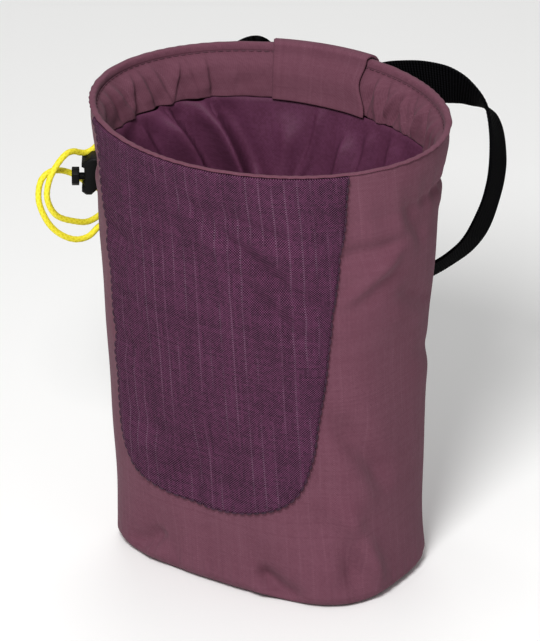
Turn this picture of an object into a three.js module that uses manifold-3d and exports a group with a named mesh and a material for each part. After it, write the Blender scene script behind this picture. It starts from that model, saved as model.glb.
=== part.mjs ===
// Climbing chalk bag: a soft oval bucket with a drawcord collar, a dark front panel, a lining,
// a webbing loop at the back and a cord lock at its left side. Millimetres, +Z up, the front
// towards -Y, standing on z = 0.
import * as THREE from 'three';
import { mergeVertices } from 'three/addons/utils/BufferGeometryUtils.js';
import Module from 'manifold-3d';

const wasm = await Module();
wasm.setup();

// Bag
const height = 170;
const rimHalfWidth = 65;
const rimHalfDepth = 54.9;
const baseHalfWidth = 54.4;
const baseHalfDepth = 36.2;
const clearance = 0.3;
const shellWall = 1.0;
const baseWall = 1.6;
const cornerRadius = 5;
const ringSteps = 54;

// Front panel
const panelWall = 1.0;

// Collar: rolled rim, facing band and the channel of the drawcord, which opens below the rim
const rollHeight = 1.0;
const rollOut = 0.6;
const collarDepth = 18;
const channelTop = 2.6;
const channelFull = 8.5;
const facingWall = 1.0;
const channelRoom = 3.0;
const gatherDepth = 0.9;
const gatherCount = 24;
const facingSteps = 96;

// Lining
const liningWall = 1.0;
const foldDepth = 4.2;

// Belt and its sleeve
const beltWidth = 15;
const beltThickness = 1.5;
const beltDrop = 91;
const beltBelowRim = 2;
const sleeveWidth = 37;
const sleeveCentre = -12;
const sleeveWall = 1.2;
const sleeveTab = 4.5;
const sleeveSteps = 9;

// Buckle, one plain closed piece round the lowest stretch of the belt
const buckleCentre = -16;
const buckleLength = 28;
const buckleWidth = 21;
const buckleHeight = 6.5;
const buckleEdge = 1;

// Drawcord and cord lock
const cordDiameter = 2.2;
const cordSides = 8;
const cordSteps = 74;
const lockCentre = new THREE.Vector3(-68.3, -12.75, 134.1);
const lockTurn = 33;
const lockWidth = 6.3;
const lockHeight = 14.2;
const lockDepth = 10;
const lockLip = 0.9;
const lockHead = 3.6;
const lockFoot = 2.8;
const lockSlope = 3.0;
const lockEdge = 0.7;
const buttonTravel = 1.5;
const buttonThickness = 2.6;
const buttonHeight = 6.2;
const buttonDepth = 5.2;
const buttonForward = 2.3;
const buttonDrop = 0.8;
const stemDiameter = 2.6;
const stemReach = 2.4;

// Sections from base to rim. up: share of the height; wide and deep: share of the way from the
// base size to the rim size; square: superellipse power; lean: sideways shift over rimHalfWidth.
const sections = [
  { up: 0.0, wide: 0.0, deep: 0.0, square: 3.2, lean: 0.0 },
  { up: 0.14, wide: 0.0, deep: 0.04, square: 3.1, lean: -0.014 },
  { up: 0.3, wide: 0.11, deep: 0.17, square: 2.85, lean: -0.025 },
  { up: 0.5, wide: 0.22, deep: 0.34, square: 2.65, lean: -0.031 },
  { up: 0.7, wide: 0.5, deep: 0.53, square: 2.35, lean: -0.028 },
  { up: 0.82, wide: 0.62, deep: 0.66, square: 2.22, lean: -0.026 },
  { up: 0.885, wide: 0.67, deep: 0.76, square: 2.15, lean: -0.022 },
  { up: 0.95, wide: 0.95, deep: 0.91, square: 1.98, lean: -0.019 },
  { up: 1.0, wide: 1.0, deep: 1.0, square: 1.95, lean: -0.013 },
];

// Dents and swells of the outer cloth. at: degrees from +X; wide: degrees; up and tall: shares of
// the height; deep: share of rimHalfWidth, outward when positive.
const dents = [
  { at: -58, wide: 11, up: 0.07, tall: 0.06, deep: -0.024 },
  { at: -36, wide: 10, up: 0.3, tall: 0.15, deep: -0.017 },
  { at: -66, wide: 12, up: 0.3, tall: 0.12, deep: 0.012 },
  { at: -14, wide: 14, up: 0.56, tall: 0.12, deep: -0.014 },
  { at: -122, wide: 10, up: 0.08, tall: 0.07, deep: -0.021 },
  { at: -92, wide: 26, up: 0.5, tall: 0.16, deep: 0.014 },
  { at: -148, wide: 12, up: 0.38, tall: 0.16, deep: -0.015 },
  { at: 62, wide: 14, up: 0.3, tall: 0.14, deep: -0.018 },
  { at: 118, wide: 14, up: 0.42, tall: 0.14, deep: -0.016 },
  { at: 90, wide: 20, up: 0.12, tall: 0.08, deep: 0.012 },
];

// Front panel outline from the rim down. up: share of the height; half and shift: over
// rimHalfWidth.
const panelRows = [
  { up: 1.0, half: 0.76, shift: 0.03 },
  { up: 0.9, half: 0.73, shift: 0.032 },
  { up: 0.8, half: 0.695, shift: 0.035 },
  { up: 0.68, half: 0.665, shift: 0.033 },
  { up: 0.54, half: 0.64, shift: 0.022 },
  { up: 0.42, half: 0.62, shift: 0.0 },
  { up: 0.33, half: 0.6, shift: -0.02 },
  { up: 0.275, half: 0.565, shift: -0.035 },
  { up: 0.24, half: 0.5, shift: -0.05 },
  { up: 0.215, half: 0.4, shift: -0.07 },
  { up: 0.197, half: 0.23, shift: -0.05 },
  { up: 0.189, half: 0.05, shift: -0.02 },
];
const panelColumns = 18;

// Folds of the lining. A fold runs from (at, up) to (toAt, toUp), in degrees and shares of the
// height; wide: degrees; deep: share of foldDepth.
const folds = [
  { at: 165, up: 0.87, toAt: 147, toUp: 0.6, wide: 8, deep: 1.0 },
  { at: 142, up: 0.85, toAt: 132, toUp: 0.55, wide: 7, deep: 0.75 },
  { at: 112, up: 0.86, toAt: 121, toUp: 0.62, wide: 7, deep: 0.6 },
  { at: 84, up: 0.84, toAt: 76, toUp: 0.5, wide: 8, deep: 0.7 },
  { at: 48, up: 0.85, toAt: 58, toUp: 0.45, wide: 9, deep: 0.8 },
  { at: 14, up: 0.84, toAt: 26, toUp: 0.42, wide: 9, deep: 0.9 },
  { at: 188, up: 0.82, toAt: 200, toUp: 0.4, wide: 9, deep: 0.9 },
  { at: 240, up: 0.82, toAt: 228, toUp: 0.42, wide: 10, deep: 0.7 },
  { at: 292, up: 0.82, toAt: 305, toUp: 0.42, wide: 10, deep: 0.7 },
  { at: 338, up: 0.82, toAt: 328, toUp: 0.42, wide: 9, deep: 0.8 },
];

// Free stretches of the belt's middle line. across: over rimHalfWidth; behind: over rimHalfDepth;
// down: below the rim over beltDrop; turn: twist of the width, in degrees, 0 upright.
const beltRight = [
  { across: 0.231, behind: 1.053, down: 0.083, turn: 0 },
  { across: 0.378, behind: 1.06, down: 0.058, turn: 1 },
  { across: 0.511, behind: 1.066, down: 0.049, turn: 6 },
  { across: 0.595, behind: 1.075, down: 0.052, turn: 17 },
  { across: 0.665, behind: 1.084, down: 0.066, turn: 28 },
  { across: 0.726, behind: 1.089, down: 0.086, turn: 40 },
  { across: 0.772, behind: 1.093, down: 0.114, turn: 52 },
  { across: 0.809, behind: 1.093, down: 0.156, turn: 65 },
  { across: 0.834, behind: 1.093, down: 0.221, turn: 74 },
  { across: 0.843, behind: 1.093, down: 0.313, turn: 80 },
  { across: 0.835, behind: 1.093, down: 0.393, turn: 84 },
  { across: 0.802, behind: 1.093, down: 0.495, turn: 88 },
  { across: 0.722, behind: 1.093, down: 0.642, turn: 96 },
  { across: 0.62, behind: 1.093, down: 0.743, turn: 103 },
  { across: 0.492, behind: 1.093, down: 0.827, turn: 106 },
  { across: 0.362, behind: 1.086, down: 0.905, turn: 104 },
  { across: 0.238, behind: 1.075, down: 0.967, turn: 97 },
];
const beltLeft = [
  { across: -0.72, behind: 1.053, down: 0.974, turn: 88 },
  { across: -0.815, behind: 1.027, down: 0.907, turn: 87 },
  { across: -0.877, behind: 0.998, down: 0.802, turn: 87 },
  { across: -0.9, behind: 0.973, down: 0.67, turn: 87 },
  { across: -0.897, behind: 0.951, down: 0.527, turn: 86 },
  { across: -0.877, behind: 0.929, down: 0.396, turn: 83 },
  { across: -0.846, behind: 0.911, down: 0.28, turn: 74 },
  { across: -0.805, behind: 0.9, down: 0.198, turn: 60 },
  { across: -0.736, behind: 0.906, down: 0.146, turn: 38 },
  { across: -0.648, behind: 0.918, down: 0.103, turn: 16 },
  { across: -0.568, behind: 0.908, down: 0.079, turn: 2 },
];
const beltBehind = 1.064;

// Route of the drawcord from its rear outlet in the collar through the cord lock, round both
// loops and back, chosen by hand in millimetres.
const cordPoints = [
  [-60.6, -5.4, 151.4], [-64.0, -5.4, 150.6], [-66.7, -5.9, 147.4], [-67.4, -7.2, 143.2],
  [-68.4, -9.3, 141.3], [-69.7, -11.6, 140.5], [-70.7, -14.1, 141.2], [-71.3, -17.0, 142.6],
  [-71.9, -20.4, 142.8], [-72.9, -24.7, 140.1], [-73.7, -28.8, 135.0], [-73.6, -30.2, 129.0],
  [-72.0, -27.4, 122.0], [-69.0, -20.0, 117.4], [-67.3, -14.6, 115.7], [-65.8, -9.2, 116.7],
  [-65.4, -2.4, 119.1], [-65.4, 0.3, 118.1], [-65.4, 1.5, 115.5], [-65.4, 0.3, 112.9],
  [-65.4, -2.4, 111.9], [-66.4, -9.2, 111.9], [-68.0, -13.2, 109.3], [-70.1, -17.6, 109.2],
  [-72.4, -21.5, 111.2], [-74.8, -24.7, 114.6], [-76.8, -27.0, 119.3], [-78.6, -28.4, 126.8],
  [-78.6, -26.5, 133.4], [-77.4, -23.0, 135.5], [-76.0, -18.8, 134.8], [-74.4, -14.9, 132.8],
  [-72.1, -12.5, 130.6], [-69.8, -10.8, 128.2], [-68.3, -8.8, 126.3], [-67.3, -5.6, 125.8],
  [-66.7, -2.5, 128.0], [-66.4, -0.8, 136.0], [-65.6, -0.8, 147.0], [-60.6, -0.8, 151.4],
];

// Value of a table's column at a place, on a smooth curve through the rows
function smooth(table, column, up) {
  const last = table.length - 1;
  const slope = (row) => {
    const a = table[Math.max(row - 1, 0)];
    const b = table[Math.min(row + 1, last)];
    return (b[column] - a[column]) / (b.up - a.up);
  };
  const place = THREE.MathUtils.clamp(up, table[0].up, table[last].up);
  const i = Math.min(Math.max(table.findIndex((row) => row.up >= place) - 1, 0), last - 1);
  const span = table[i + 1].up - table[i].up;
  const t = (place - table[i].up) / span;
  const rise = table[i + 1][column] - table[i][column];
  const start = slope(i) * span;
  const end = slope(i + 1) * span;
  return table[i][column] + t * (start + t * (3 * rise - 2 * start - end + t * (start + end - 2 * rise)));
}

// Half-width, half-depth, power and sideways shift of the outer cloth at a height z
function sectionAt(z) {
  const up = z / height;
  return {
    a: THREE.MathUtils.lerp(baseHalfWidth, rimHalfWidth, smooth(sections, 'wide', up)),
    b: THREE.MathUtils.lerp(baseHalfDepth, rimHalfDepth, smooth(sections, 'deep', up)),
    n: smooth(sections, 'square', up),
    x: smooth(sections, 'lean', up) * rimHalfWidth,
  };
}

// Bell curve that is 1 at 0 and gone at about 2.5
const bell = (t) => Math.exp(-t * t);

// Smallest turn between two directions, in degrees
const turnBetween = (a, b) => ((((a - b) % 360) + 540) % 360) - 180;

// Radial depth of the dents at a direction in degrees and a height z
function dentAt(degrees, z) {
  let sum = 0;
  for (const dent of dents) {
    const side = turnBetween(degrees, dent.at) / dent.wide;
    sum += dent.deep * bell(side) * bell((z / height - dent.up) / dent.tall);
  }
  return sum * rimHalfWidth;
}

// Point that lies `out` outside the outer cloth in a direction; `ring` is the height of the
// section that it follows, and `shrink` draws it towards the middle axis.
function onBag(angle, z, out, ring = z, shrink = 1) {
  const { a, b, n, x } = sectionAt(ring);
  const wide = Math.abs(Math.cos(angle)) / (a + out);
  const deep = Math.abs(Math.sin(angle)) / (b + out);
  const reach = (wide ** n + deep ** n) ** (-1 / n) + dentAt(THREE.MathUtils.radToDeg(angle), ring);
  return new THREE.Vector3(x + reach * shrink * Math.cos(angle), reach * shrink * Math.sin(angle), z);
}

// Direction in which the outer cloth is at x, on the front (side -1) or the back (side 1)
function angleAt(x, z, side) {
  const { a, b, n, x: middle } = sectionAt(z);
  const share = Math.min(Math.abs(x - middle) / a, 1);
  return Math.atan2(side * b * (1 - share ** n) ** (1 / n), x - middle);
}

// Closed body from corners and triangles, turned right side out
function closedBody(corners, triangles) {
  const flat = triangles.flat();
  let volume = 0;
  for (let i = 0; i < flat.length; i += 3) {
    const [p, q, r] = [corners[flat[i]], corners[flat[i + 1]], corners[flat[i + 2]]];
    volume += p.dot(q.clone().cross(r));
  }
  if (volume < 0) flat.reverse();
  const geometry = new THREE.BufferGeometry().setFromPoints(corners);
  geometry.setIndex(flat);
  return geometry;
}

// Body swept round the bag: every row of the profile is a ring, and a row with shrink 0 is a
// single point on the axis that closes the end. Without such rows the profile closes on itself.
function ringBody(profile, steps, offset = () => 0) {
  const corners = [];
  const rings = profile.map((row) => {
    const count = row.shrink === 0 ? 1 : steps;
    const ring = [];
    for (let i = 0; i < count; i += 1) {
      const angle = (i / steps) * 2 * Math.PI;
      ring.push(corners.length);
      corners.push(onBag(angle, row.z, row.out + offset(angle, row), row.ring, row.shrink));
    }
    return ring;
  });
  const triangles = [];
  const closed = rings[0].length > 1;
  for (let r = 0; r < rings.length - (closed ? 0 : 1); r += 1) {
    const low = rings[r];
    const high = rings[(r + 1) % rings.length];
    for (let i = 0; i < steps; i += 1) {
      const j = (i + 1) % steps;
      if (low.length > 1) triangles.push([low[i], low[j], high[i % high.length]]);
      if (high.length > 1) triangles.push([low[j % low.length], high[j], high[i]]);
    }
  }
  return closedBody(corners, triangles);
}

// Body between two grids of the same size, such as a panel's inner and outer faces
function gridBody(inner, outer) {
  const rows = inner.length;
  const columns = inner[0].length;
  const at = (face, r, c) => (face * rows + r) * columns + c;
  const triangles = [];
  for (let r = 0; r < rows - 1; r += 1) {
    for (let c = 0; c < columns - 1; c += 1) {
      for (const face of [0, 1]) {
        const quad = [at(face, r, c), at(face, r, c + 1), at(face, r + 1, c + 1), at(face, r + 1, c)];
        if (face) quad.reverse();
        triangles.push([quad[0], quad[1], quad[2]], [quad[0], quad[2], quad[3]]);
      }
    }
  }
  const edge = [];
  for (let c = 0; c < columns - 1; c += 1) edge.push([0, c]);
  for (let r = 0; r < rows - 1; r += 1) edge.push([r, columns - 1]);
  for (let c = columns - 1; c > 0; c -= 1) edge.push([rows - 1, c]);
  for (let r = rows - 1; r > 0; r -= 1) edge.push([r, 0]);
  edge.forEach(([r, c], i) => {
    const [nextR, nextC] = edge[(i + 1) % edge.length];
    triangles.push([at(0, r, c), at(1, r, c), at(1, nextR, nextC)]);
    triangles.push([at(0, r, c), at(1, nextR, nextC), at(0, nextR, nextC)]);
  });
  return closedBody([...inner.flat(), ...outer.flat()], triangles);
}

// Body of one outline moved along stations, closed into a loop or capped at both ends
function sweptBody(stations, outline, closed) {
  const count = outline.length;
  const triangles = [];
  for (let s = 0; s < stations.length - (closed ? 0 : 1); s += 1) {
    const here = s * count;
    const next = ((s + 1) % stations.length) * count;
    for (let i = 0; i < count; i += 1) {
      const j = (i + 1) % count;
      triangles.push([here + i, here + j, next + j], [here + i, next + j, next + i]);
    }
  }
  if (!closed) {
    const end = (stations.length - 1) * count;
    for (const [a, b, c] of THREE.ShapeUtils.triangulateShape(outline, [])) {
      const turned = THREE.ShapeUtils.isClockWise(outline);
      const cap = turned ? [a, b, c] : [a, c, b];
      triangles.push(cap, [end + cap[0], end + cap[2], end + cap[1]]);
    }
  }
  return closedBody(stations.flat(), triangles);
}

// Manifold solid of a closed geometry, and the geometry of a solid
function solidOf(geometry) {
  const bare = geometry.clone();
  for (const name of ['normal', 'uv']) bare.deleteAttribute(name);
  const merged = mergeVertices(bare, 1e-4);
  const vertProperties = new Float32Array(merged.attributes.position.array);
  const triVerts = new Uint32Array(merged.index.array);
  return new wasm.Manifold(new wasm.Mesh({ numProp: 3, vertProperties, triVerts }));
}

function geometryOf(solid) {
  const { vertProperties, triVerts } = solid.getMesh();
  const geometry = new THREE.BufferGeometry();
  geometry.setAttribute('position', new THREE.BufferAttribute(vertProperties, 3));
  geometry.setIndex(new THREE.BufferAttribute(triVerts, 1));
  return geometry;
}

// Round tube along the drawcord's route
function cordTube(diameter, sides, steps) {
  const section = new THREE.Shape();
  for (let i = 0; i < sides; i += 1) {
    const angle = (i / sides) * 2 * Math.PI;
    const point = [(diameter / 2) * Math.cos(angle), (diameter / 2) * Math.sin(angle)];
    if (i === 0) section.moveTo(...point);
    else section.lineTo(...point);
  }
  section.closePath();
  const route = cordPoints.map((point) => new THREE.Vector3(...point));
  const extrudePath = new THREE.CatmullRomCurve3(route, false, 'centripetal');
  return new THREE.ExtrudeGeometry(section, { steps, bevelEnabled: false, extrudePath });
}

const cord = cordTube(cordDiameter, cordSides, cordSteps);
const cordRoomDiameter = cordDiameter + (2 * clearance) / Math.cos(Math.PI / cordSides);
const cordRoom = solidOf(cordTube(cordRoomDiameter, cordSides, cordSteps));

// Places that pieces share
const rollBottom = height - rollHeight;
const clothTop = rollBottom - clearance;
const facingBottom = height - collarDepth;
const facingOut = -(shellWall + channelRoom);
const facingIn = facingOut - facingWall;
const slimOut = -(shellWall + clearance);
const slimIn = slimOut - facingWall;
const panelOut = clearance + panelWall;

// Outer cloth: a tapered oval tube that turns in at the bottom, with the cord's two outlets
function shell() {
  const levels = [0.07, 0.14, 0.24, 0.34, 0.45, 0.56, 0.67, 0.77, 0.84, 0.885, 0.925, 0.96, 0.982];
  const innerLevels = [0.985, 0.95, 0.885, 0.77, 0.55, 0.3, 0.1];
  const turn = [90, 60, 30, 0].map((degrees) => THREE.MathUtils.degToRad(degrees));
  const corner = (radius, angle) => ({
    z: cornerRadius - radius * Math.sin(angle),
    out: radius * Math.cos(angle) - cornerRadius,
  });
  const profile = [
    ...turn.map((angle) => corner(cornerRadius, angle)),
    ...levels.map((up) => ({ z: up * height, out: 0 })),
    { z: clothTop, out: 0 },
    { z: clothTop, out: -shellWall },
    ...innerLevels.map((up) => ({ z: up * height, out: -shellWall })),
    ...turn.reverse().map((angle) => corner(cornerRadius - shellWall, angle)),
  ];
  return geometryOf(solidOf(ringBody(profile, ringSteps)).subtract(cordRoom));
}

// Oval bottom on which the bag stands
function basePanel() {
  const out = -cornerRadius - clearance;
  const profile = [
    { z: 0, out, shrink: 0 },
    { z: 0, out },
    { z: baseWall, out },
    { z: baseWall, out, shrink: 0 },
  ];
  return ringBody(profile, ringSteps);
}

// Dark U-shaped panel on the front
function frontPanel() {
  const face = (out) => panelRows.map((row) => {
    const z = Math.min(row.up * height, clothTop);
    const points = [];
    for (let c = 0; c <= panelColumns; c += 1) {
      const side = (2 * c) / panelColumns - 1;
      const x = (row.shift + row.half * side) * rimHalfWidth;
      points.push(onBag(angleAt(x, z, -1), z, out));
    }
    return points;
  });
  return gridBody(face(clearance), face(panelOut));
}

// Rolled rim with the facing band that hangs inside it and is gathered at both sides
function rimFacing() {
  const gather = (angle, row) => {
    const fullness = 0.35 + 0.65 * Math.cos(angle) ** 2;
    const wave = 0.5 + 0.5 * Math.sin(gatherCount * angle);
    return -(row.hang ?? 0) * gatherDepth * fullness * wave;
  };
  const profile = [
    { z: rollBottom, out: rollOut },
    { z: height - 0.4 * rollHeight, out: rollOut },
    { z: height, out: rollOut - 0.5 * rollHeight },
    { z: height, out: slimIn + 0.5 * rollHeight },
    { z: height - 0.6 * rollHeight, out: slimIn },
    { z: height - channelTop, out: slimIn },
    { z: height - channelFull, out: facingIn, hang: 0.8 },
    { z: facingBottom, out: facingIn, hang: 1 },
    { z: facingBottom, out: facingOut, hang: 1 },
    { z: height - channelFull, out: facingOut, hang: 0.8 },
    { z: height - channelTop, out: slimOut },
    { z: rollBottom, out: slimOut },
  ];
  return ringBody(profile, facingSteps, gather);
}

// Inward depth of the lining's folds
function foldAt(angle, z) {
  const degrees = THREE.MathUtils.radToDeg(angle);
  const up = z / height;
  let sum = 0;
  for (const fold of folds) {
    const along = (fold.up - up) / (fold.up - fold.toUp);
    const ridge = THREE.MathUtils.lerp(fold.at, fold.toAt, along);
    const fade = THREE.MathUtils.smoothstep(along, -0.1, 0.25) - THREE.MathUtils.smoothstep(along, 0.7, 1.4);
    sum += fold.deep * fade * bell(turnBetween(degrees, ridge) / fold.wide);
  }
  return -sum * foldDepth;
}

// Inner cloth bag, hung from the facing's lower edge
function lining() {
  const top = facingBottom - clearance;
  const floor = baseWall + clearance;
  const inner = facingOut - liningWall;
  const levels = [0.13, 0.28, 0.43, 0.56, 0.67, 0.76, 0.83];
  const profile = [
    { z: floor, out: facingOut - cornerRadius, shrink: 0 },
    { z: floor, out: facingOut - cornerRadius },
    { z: floor + cornerRadius, out: facingOut },
    ...levels.map((up) => ({ z: up * height, out: facingOut })),
    { z: top, out: facingOut },
    { z: top, out: inner },
    ...[...levels].reverse().map((up) => ({ z: up * height, out: inner })),
    { z: floor + cornerRadius, out: inner },
    { z: floor + liningWall, out: inner - cornerRadius + liningWall },
    { z: floor + liningWall, out: inner - cornerRadius + liningWall, shrink: 0 },
  ];
  return ringBody(profile, ringSteps, (angle, row) => foldAt(angle, row.z));
}

// Belt places inside the sleeve
const beltStand = rollOut + 3 * clearance + beltThickness / 2;
const beltLine = height - beltBelowRim - beltWidth / 2;
const sleeveLeft = angleAt(sleeveCentre - sleeveWidth / 2, height, 1);
const sleeveRight = angleAt(sleeveCentre + sleeveWidth / 2, height, 1);

// Cloth sleeve: up inside the facing, over the rim and the belt, down behind it to the shell
function beltSleeve() {
  const insideOut = facingIn - gatherDepth - clearance;
  const slimOutside = slimIn - clearance;
  const outsideIn = beltStand + beltThickness / 2 + clearance;
  const beltLow = beltLine - beltWidth / 2;
  const tabTop = beltLow - clearance - (outsideIn - clearance);
  const profile = [
    { z: facingBottom, out: insideOut },
    { z: height - channelFull, out: insideOut },
    { z: height - channelTop, out: slimOutside - gatherDepth / 2 },
    { z: height + clearance, out: slimOutside },
    { z: height + clearance, out: rollOut - 0.5 * rollHeight, ring: height },
    { z: beltLine + beltWidth / 2 + 2 * clearance, out: outsideIn, ring: height },
    { z: beltLow - clearance, out: outsideIn, ring: height },
    { z: tabTop, out: clearance },
    { z: tabTop - sleeveTab, out: clearance },
    { z: tabTop - sleeveTab, out: clearance + sleeveWall },
    { z: tabTop - 0.4 * sleeveWall, out: clearance + sleeveWall },
    { z: beltLow - clearance - 0.4 * sleeveWall, out: outsideIn + sleeveWall, ring: height },
    { z: beltLine + beltWidth / 2 + sleeveWall, out: outsideIn + sleeveWall, ring: height },
    { z: height + clearance + sleeveWall, out: rollOut - 0.7 * rollHeight, ring: height },
    { z: height + clearance + sleeveWall, out: slimOutside - 0.4 * sleeveWall, ring: height },
    { z: height - channelTop, out: slimOutside - gatherDepth / 2 - sleeveWall },
    { z: height - channelFull, out: insideOut - sleeveWall },
    { z: facingBottom, out: insideOut - sleeveWall },
  ];
  const outline = profile.map((row) => new THREE.Vector2(row.out, row.z));
  const stations = [];
  for (let i = 0; i <= sleeveSteps; i += 1) {
    const angle = THREE.MathUtils.lerp(sleeveLeft, sleeveRight, i / sleeveSteps);
    stations.push(profile.map((row) => onBag(angle, row.z, row.out, row.ring ?? row.z)));
  }
  return sweptBody(stations, outline, false);
}

// Middle line of the belt as rows of place and twist, through the sleeve and round the loop
function beltRows() {
  const free = ({ across, behind, down, turn }) => ({
    place: new THREE.Vector3(across * rimHalfWidth, behind * rimHalfDepth, height - down * beltDrop),
    turn,
  });
  const tunnel = [-0.07, 0.25, 0.5, 0.75, 1.03].map((share) => {
    const angle = THREE.MathUtils.lerp(sleeveLeft, sleeveRight, share);
    return { place: onBag(angle, beltLine, beltStand, height), turn: 0 };
  });
  const half = buckleLength / 2 + 1;
  const straight = [half + 9, half, 0, -half, -half - 9].map((x) => ({
    place: new THREE.Vector3(buckleCentre + x, beltBehind * rimHalfDepth, height - beltDrop),
    turn: 90,
  }));
  return [...tunnel, ...beltRight.map(free), ...straight, ...beltLeft.map(free)];
}

// Black webbing, one closed loop
function belt() {
  const rows = beltRows();
  const curve = new THREE.CatmullRomCurve3(rows.map((row) => row.place), true, 'catmullrom', 0.5);
  const stations = [];
  for (let s = 0; s < 2 * rows.length; s += 1) {
    const share = s / (2 * rows.length);
    const place = curve.getPoint(share);
    const along = curve.getTangent(share);
    const turnHere = rows[Math.floor(s / 2)].turn;
    const turnNext = rows[Math.floor((s + 1) / 2) % rows.length].turn;
    const turn = THREE.MathUtils.degToRad((turnHere + turnNext) / 2);
    const back = new THREE.Vector3(0, 1, 0).addScaledVector(along, -along.y).normalize();
    const upright = along.clone().cross(back);
    const width = upright.clone().multiplyScalar(Math.cos(turn)).addScaledVector(back, -Math.sin(turn));
    const normal = along.clone().cross(width);
    stations.push([[1, 1], [1, -1], [-1, -1], [-1, 1]].map(([w, n]) => place.clone()
      .addScaledVector(width, (w * beltWidth) / 2)
      .addScaledVector(normal, (n * beltThickness) / 2)));
  }
  return sweptBody(stations, stations[0], true);
}

// Block of an outline, centred on z = 0, with its upper and lower edges bevelled
function bevelledBlock(outline, thickness, edge) {
  const block = new THREE.ExtrudeGeometry(outline, {
    depth: thickness - 2 * edge,
    bevelThickness: edge,
    bevelSize: edge,
    bevelOffset: -edge,
    bevelSegments: 1,
  });
  return block.translate(0, 0, edge - thickness / 2);
}

// Buckle with the slot that the belt passes through
function beltBuckle() {
  const outline = new THREE.Shape();
  const [x, y, notch] = [buckleLength / 2, buckleWidth / 2, buckleWidth * 0.12];
  outline.moveTo(-x, -y + notch);
  outline.lineTo(-x + notch, -y);
  outline.lineTo(x - notch, -y);
  outline.lineTo(x, -y + notch);
  outline.lineTo(x, y - notch);
  outline.lineTo(x - notch, y);
  outline.lineTo(-x + notch, y);
  outline.lineTo(-x, y - notch);
  outline.closePath();
  const block = bevelledBlock(outline, buckleHeight, buckleEdge);
  const slot = new THREE.BoxGeometry(
    2 * buckleLength,
    beltWidth + 2 * clearance,
    beltThickness + 2 * clearance,
  );
  const body = geometryOf(solidOf(block).subtract(solidOf(slot)));
  return body.translate(buckleCentre, beltBehind * rimHalfDepth, height - beltDrop);
}

// The cord lock's own directions: across towards the bag, up, and forward to the front left
const lockAngle = THREE.MathUtils.degToRad(lockTurn);
const lockAcross = new THREE.Vector3(Math.cos(lockAngle), Math.sin(lockAngle), 0);
const lockForward = new THREE.Vector3(Math.sin(lockAngle), -Math.cos(lockAngle), 0);
const lockFrame = new THREE.Matrix4()
  .makeBasis(lockAcross, new THREE.Vector3(0, 0, 1), lockForward)
  .setPosition(lockCentre);
const lockLeft = -lockWidth / 3;

// Button place: its stem slides towards the bag in a bore of the lock body
const buttonGap = buttonTravel + clearance;
const buttonFace = lockLeft + lockLip - buttonGap;
const stemLength = buttonGap + stemReach;

function stem(diameter, length) {
  const geometry = new THREE.CylinderGeometry(diameter / 2, diameter / 2, length, 12);
  geometry.rotateZ(Math.PI / 2);
  return geometry.translate(buttonFace + length / 2, -buttonDrop, buttonForward);
}

// Lock body: a spool with slanted ends and a lip above and below, two cord holes and the button's
// bore
function lockBody() {
  const right = lockLeft + lockWidth;
  const half = lockHeight / 2;
  const outline = new THREE.Shape();
  outline.moveTo(right, lockSlope - half);
  outline.lineTo(right, half);
  outline.lineTo(right - lockSlope, half);
  outline.lineTo(lockLeft, half - 0.8 * lockSlope);
  outline.lineTo(lockLeft, half - lockHead);
  outline.lineTo(lockLeft + lockLip, half - lockHead - lockLip / 2);
  outline.lineTo(lockLeft + lockLip, lockFoot - half + lockLip / 2);
  outline.lineTo(lockLeft, lockFoot - half);
  outline.lineTo(lockLeft, 0.4 * lockSlope - half);
  outline.lineTo(lockLeft + 0.5 * lockSlope, -half);
  outline.lineTo(right - lockSlope, -half);
  outline.closePath();
  const block = bevelledBlock(outline, lockDepth, lockEdge);
  const bore = stem(stemDiameter + 2 * clearance, 2 * (stemLength + buttonTravel) + 2 * clearance);
  bore.translate(-(stemLength + buttonTravel), 0, 0);
  const body = solidOf(block.applyMatrix4(lockFrame));
  return geometryOf(body.subtract(cordRoom).subtract(solidOf(bore.applyMatrix4(lockFrame))));
}

// Button: a thick round-cornered pad on its stem
function lockButton() {
  const pad = new THREE.Shape();
  const [z, y, cut] = [buttonDepth / 2, buttonHeight / 2, buttonDepth * 0.28];
  pad.moveTo(-z, -y + cut);
  pad.lineTo(-z + cut, -y);
  pad.lineTo(z - cut, -y);
  pad.lineTo(z, -y + cut);
  pad.lineTo(z, y - cut);
  pad.lineTo(z - cut, y);
  pad.lineTo(-z + cut, y);
  pad.lineTo(-z, y - cut);
  pad.closePath();
  const head = new THREE.ExtrudeGeometry(pad, { depth: buttonThickness, bevelEnabled: false });
  head.rotateY(-Math.PI / 2);
  head.translate(buttonFace, -buttonDrop, buttonForward);
  const whole = solidOf(head).add(solidOf(stem(stemDiameter, stemLength).translate(-0.01, 0, 0)));
  return geometryOf(whole).applyMatrix4(lockFrame);
}

const bag = new THREE.Group();

function addPiece(name, geometry, color, roughness) {
  const material = new THREE.MeshStandardMaterial({ color, roughness, metalness: 0 });
  const mesh = new THREE.Mesh(geometry, material);
  mesh.name = name;
  bag.add(mesh);
}

addPiece('shell', shell(), 0x66414e, 0.85);
addPiece('base_panel', basePanel(), 0x5c3a47, 0.85);
addPiece('front_panel', frontPanel(), 0x533148, 0.8);
addPiece('rim_facing', rimFacing(), 0x66414e, 0.85);
addPiece('lining', lining(), 0x50304a, 0.6);
addPiece('belt_sleeve', beltSleeve(), 0x744c59, 0.85);
addPiece('belt', belt(), 0x0b0b0c, 0.7);
addPiece('belt_buckle', beltBuckle(), 0x141414, 0.4);
addPiece('draw_cord', cord, 0xe7dd39, 0.6);
addPiece('cord_lock_body', lockBody(), 0x1d1c1c, 0.4);
addPiece('cord_lock_button', lockButton(), 0x1d1c1c, 0.4);

export default bag;
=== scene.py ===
import math
from functools import partial

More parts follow.
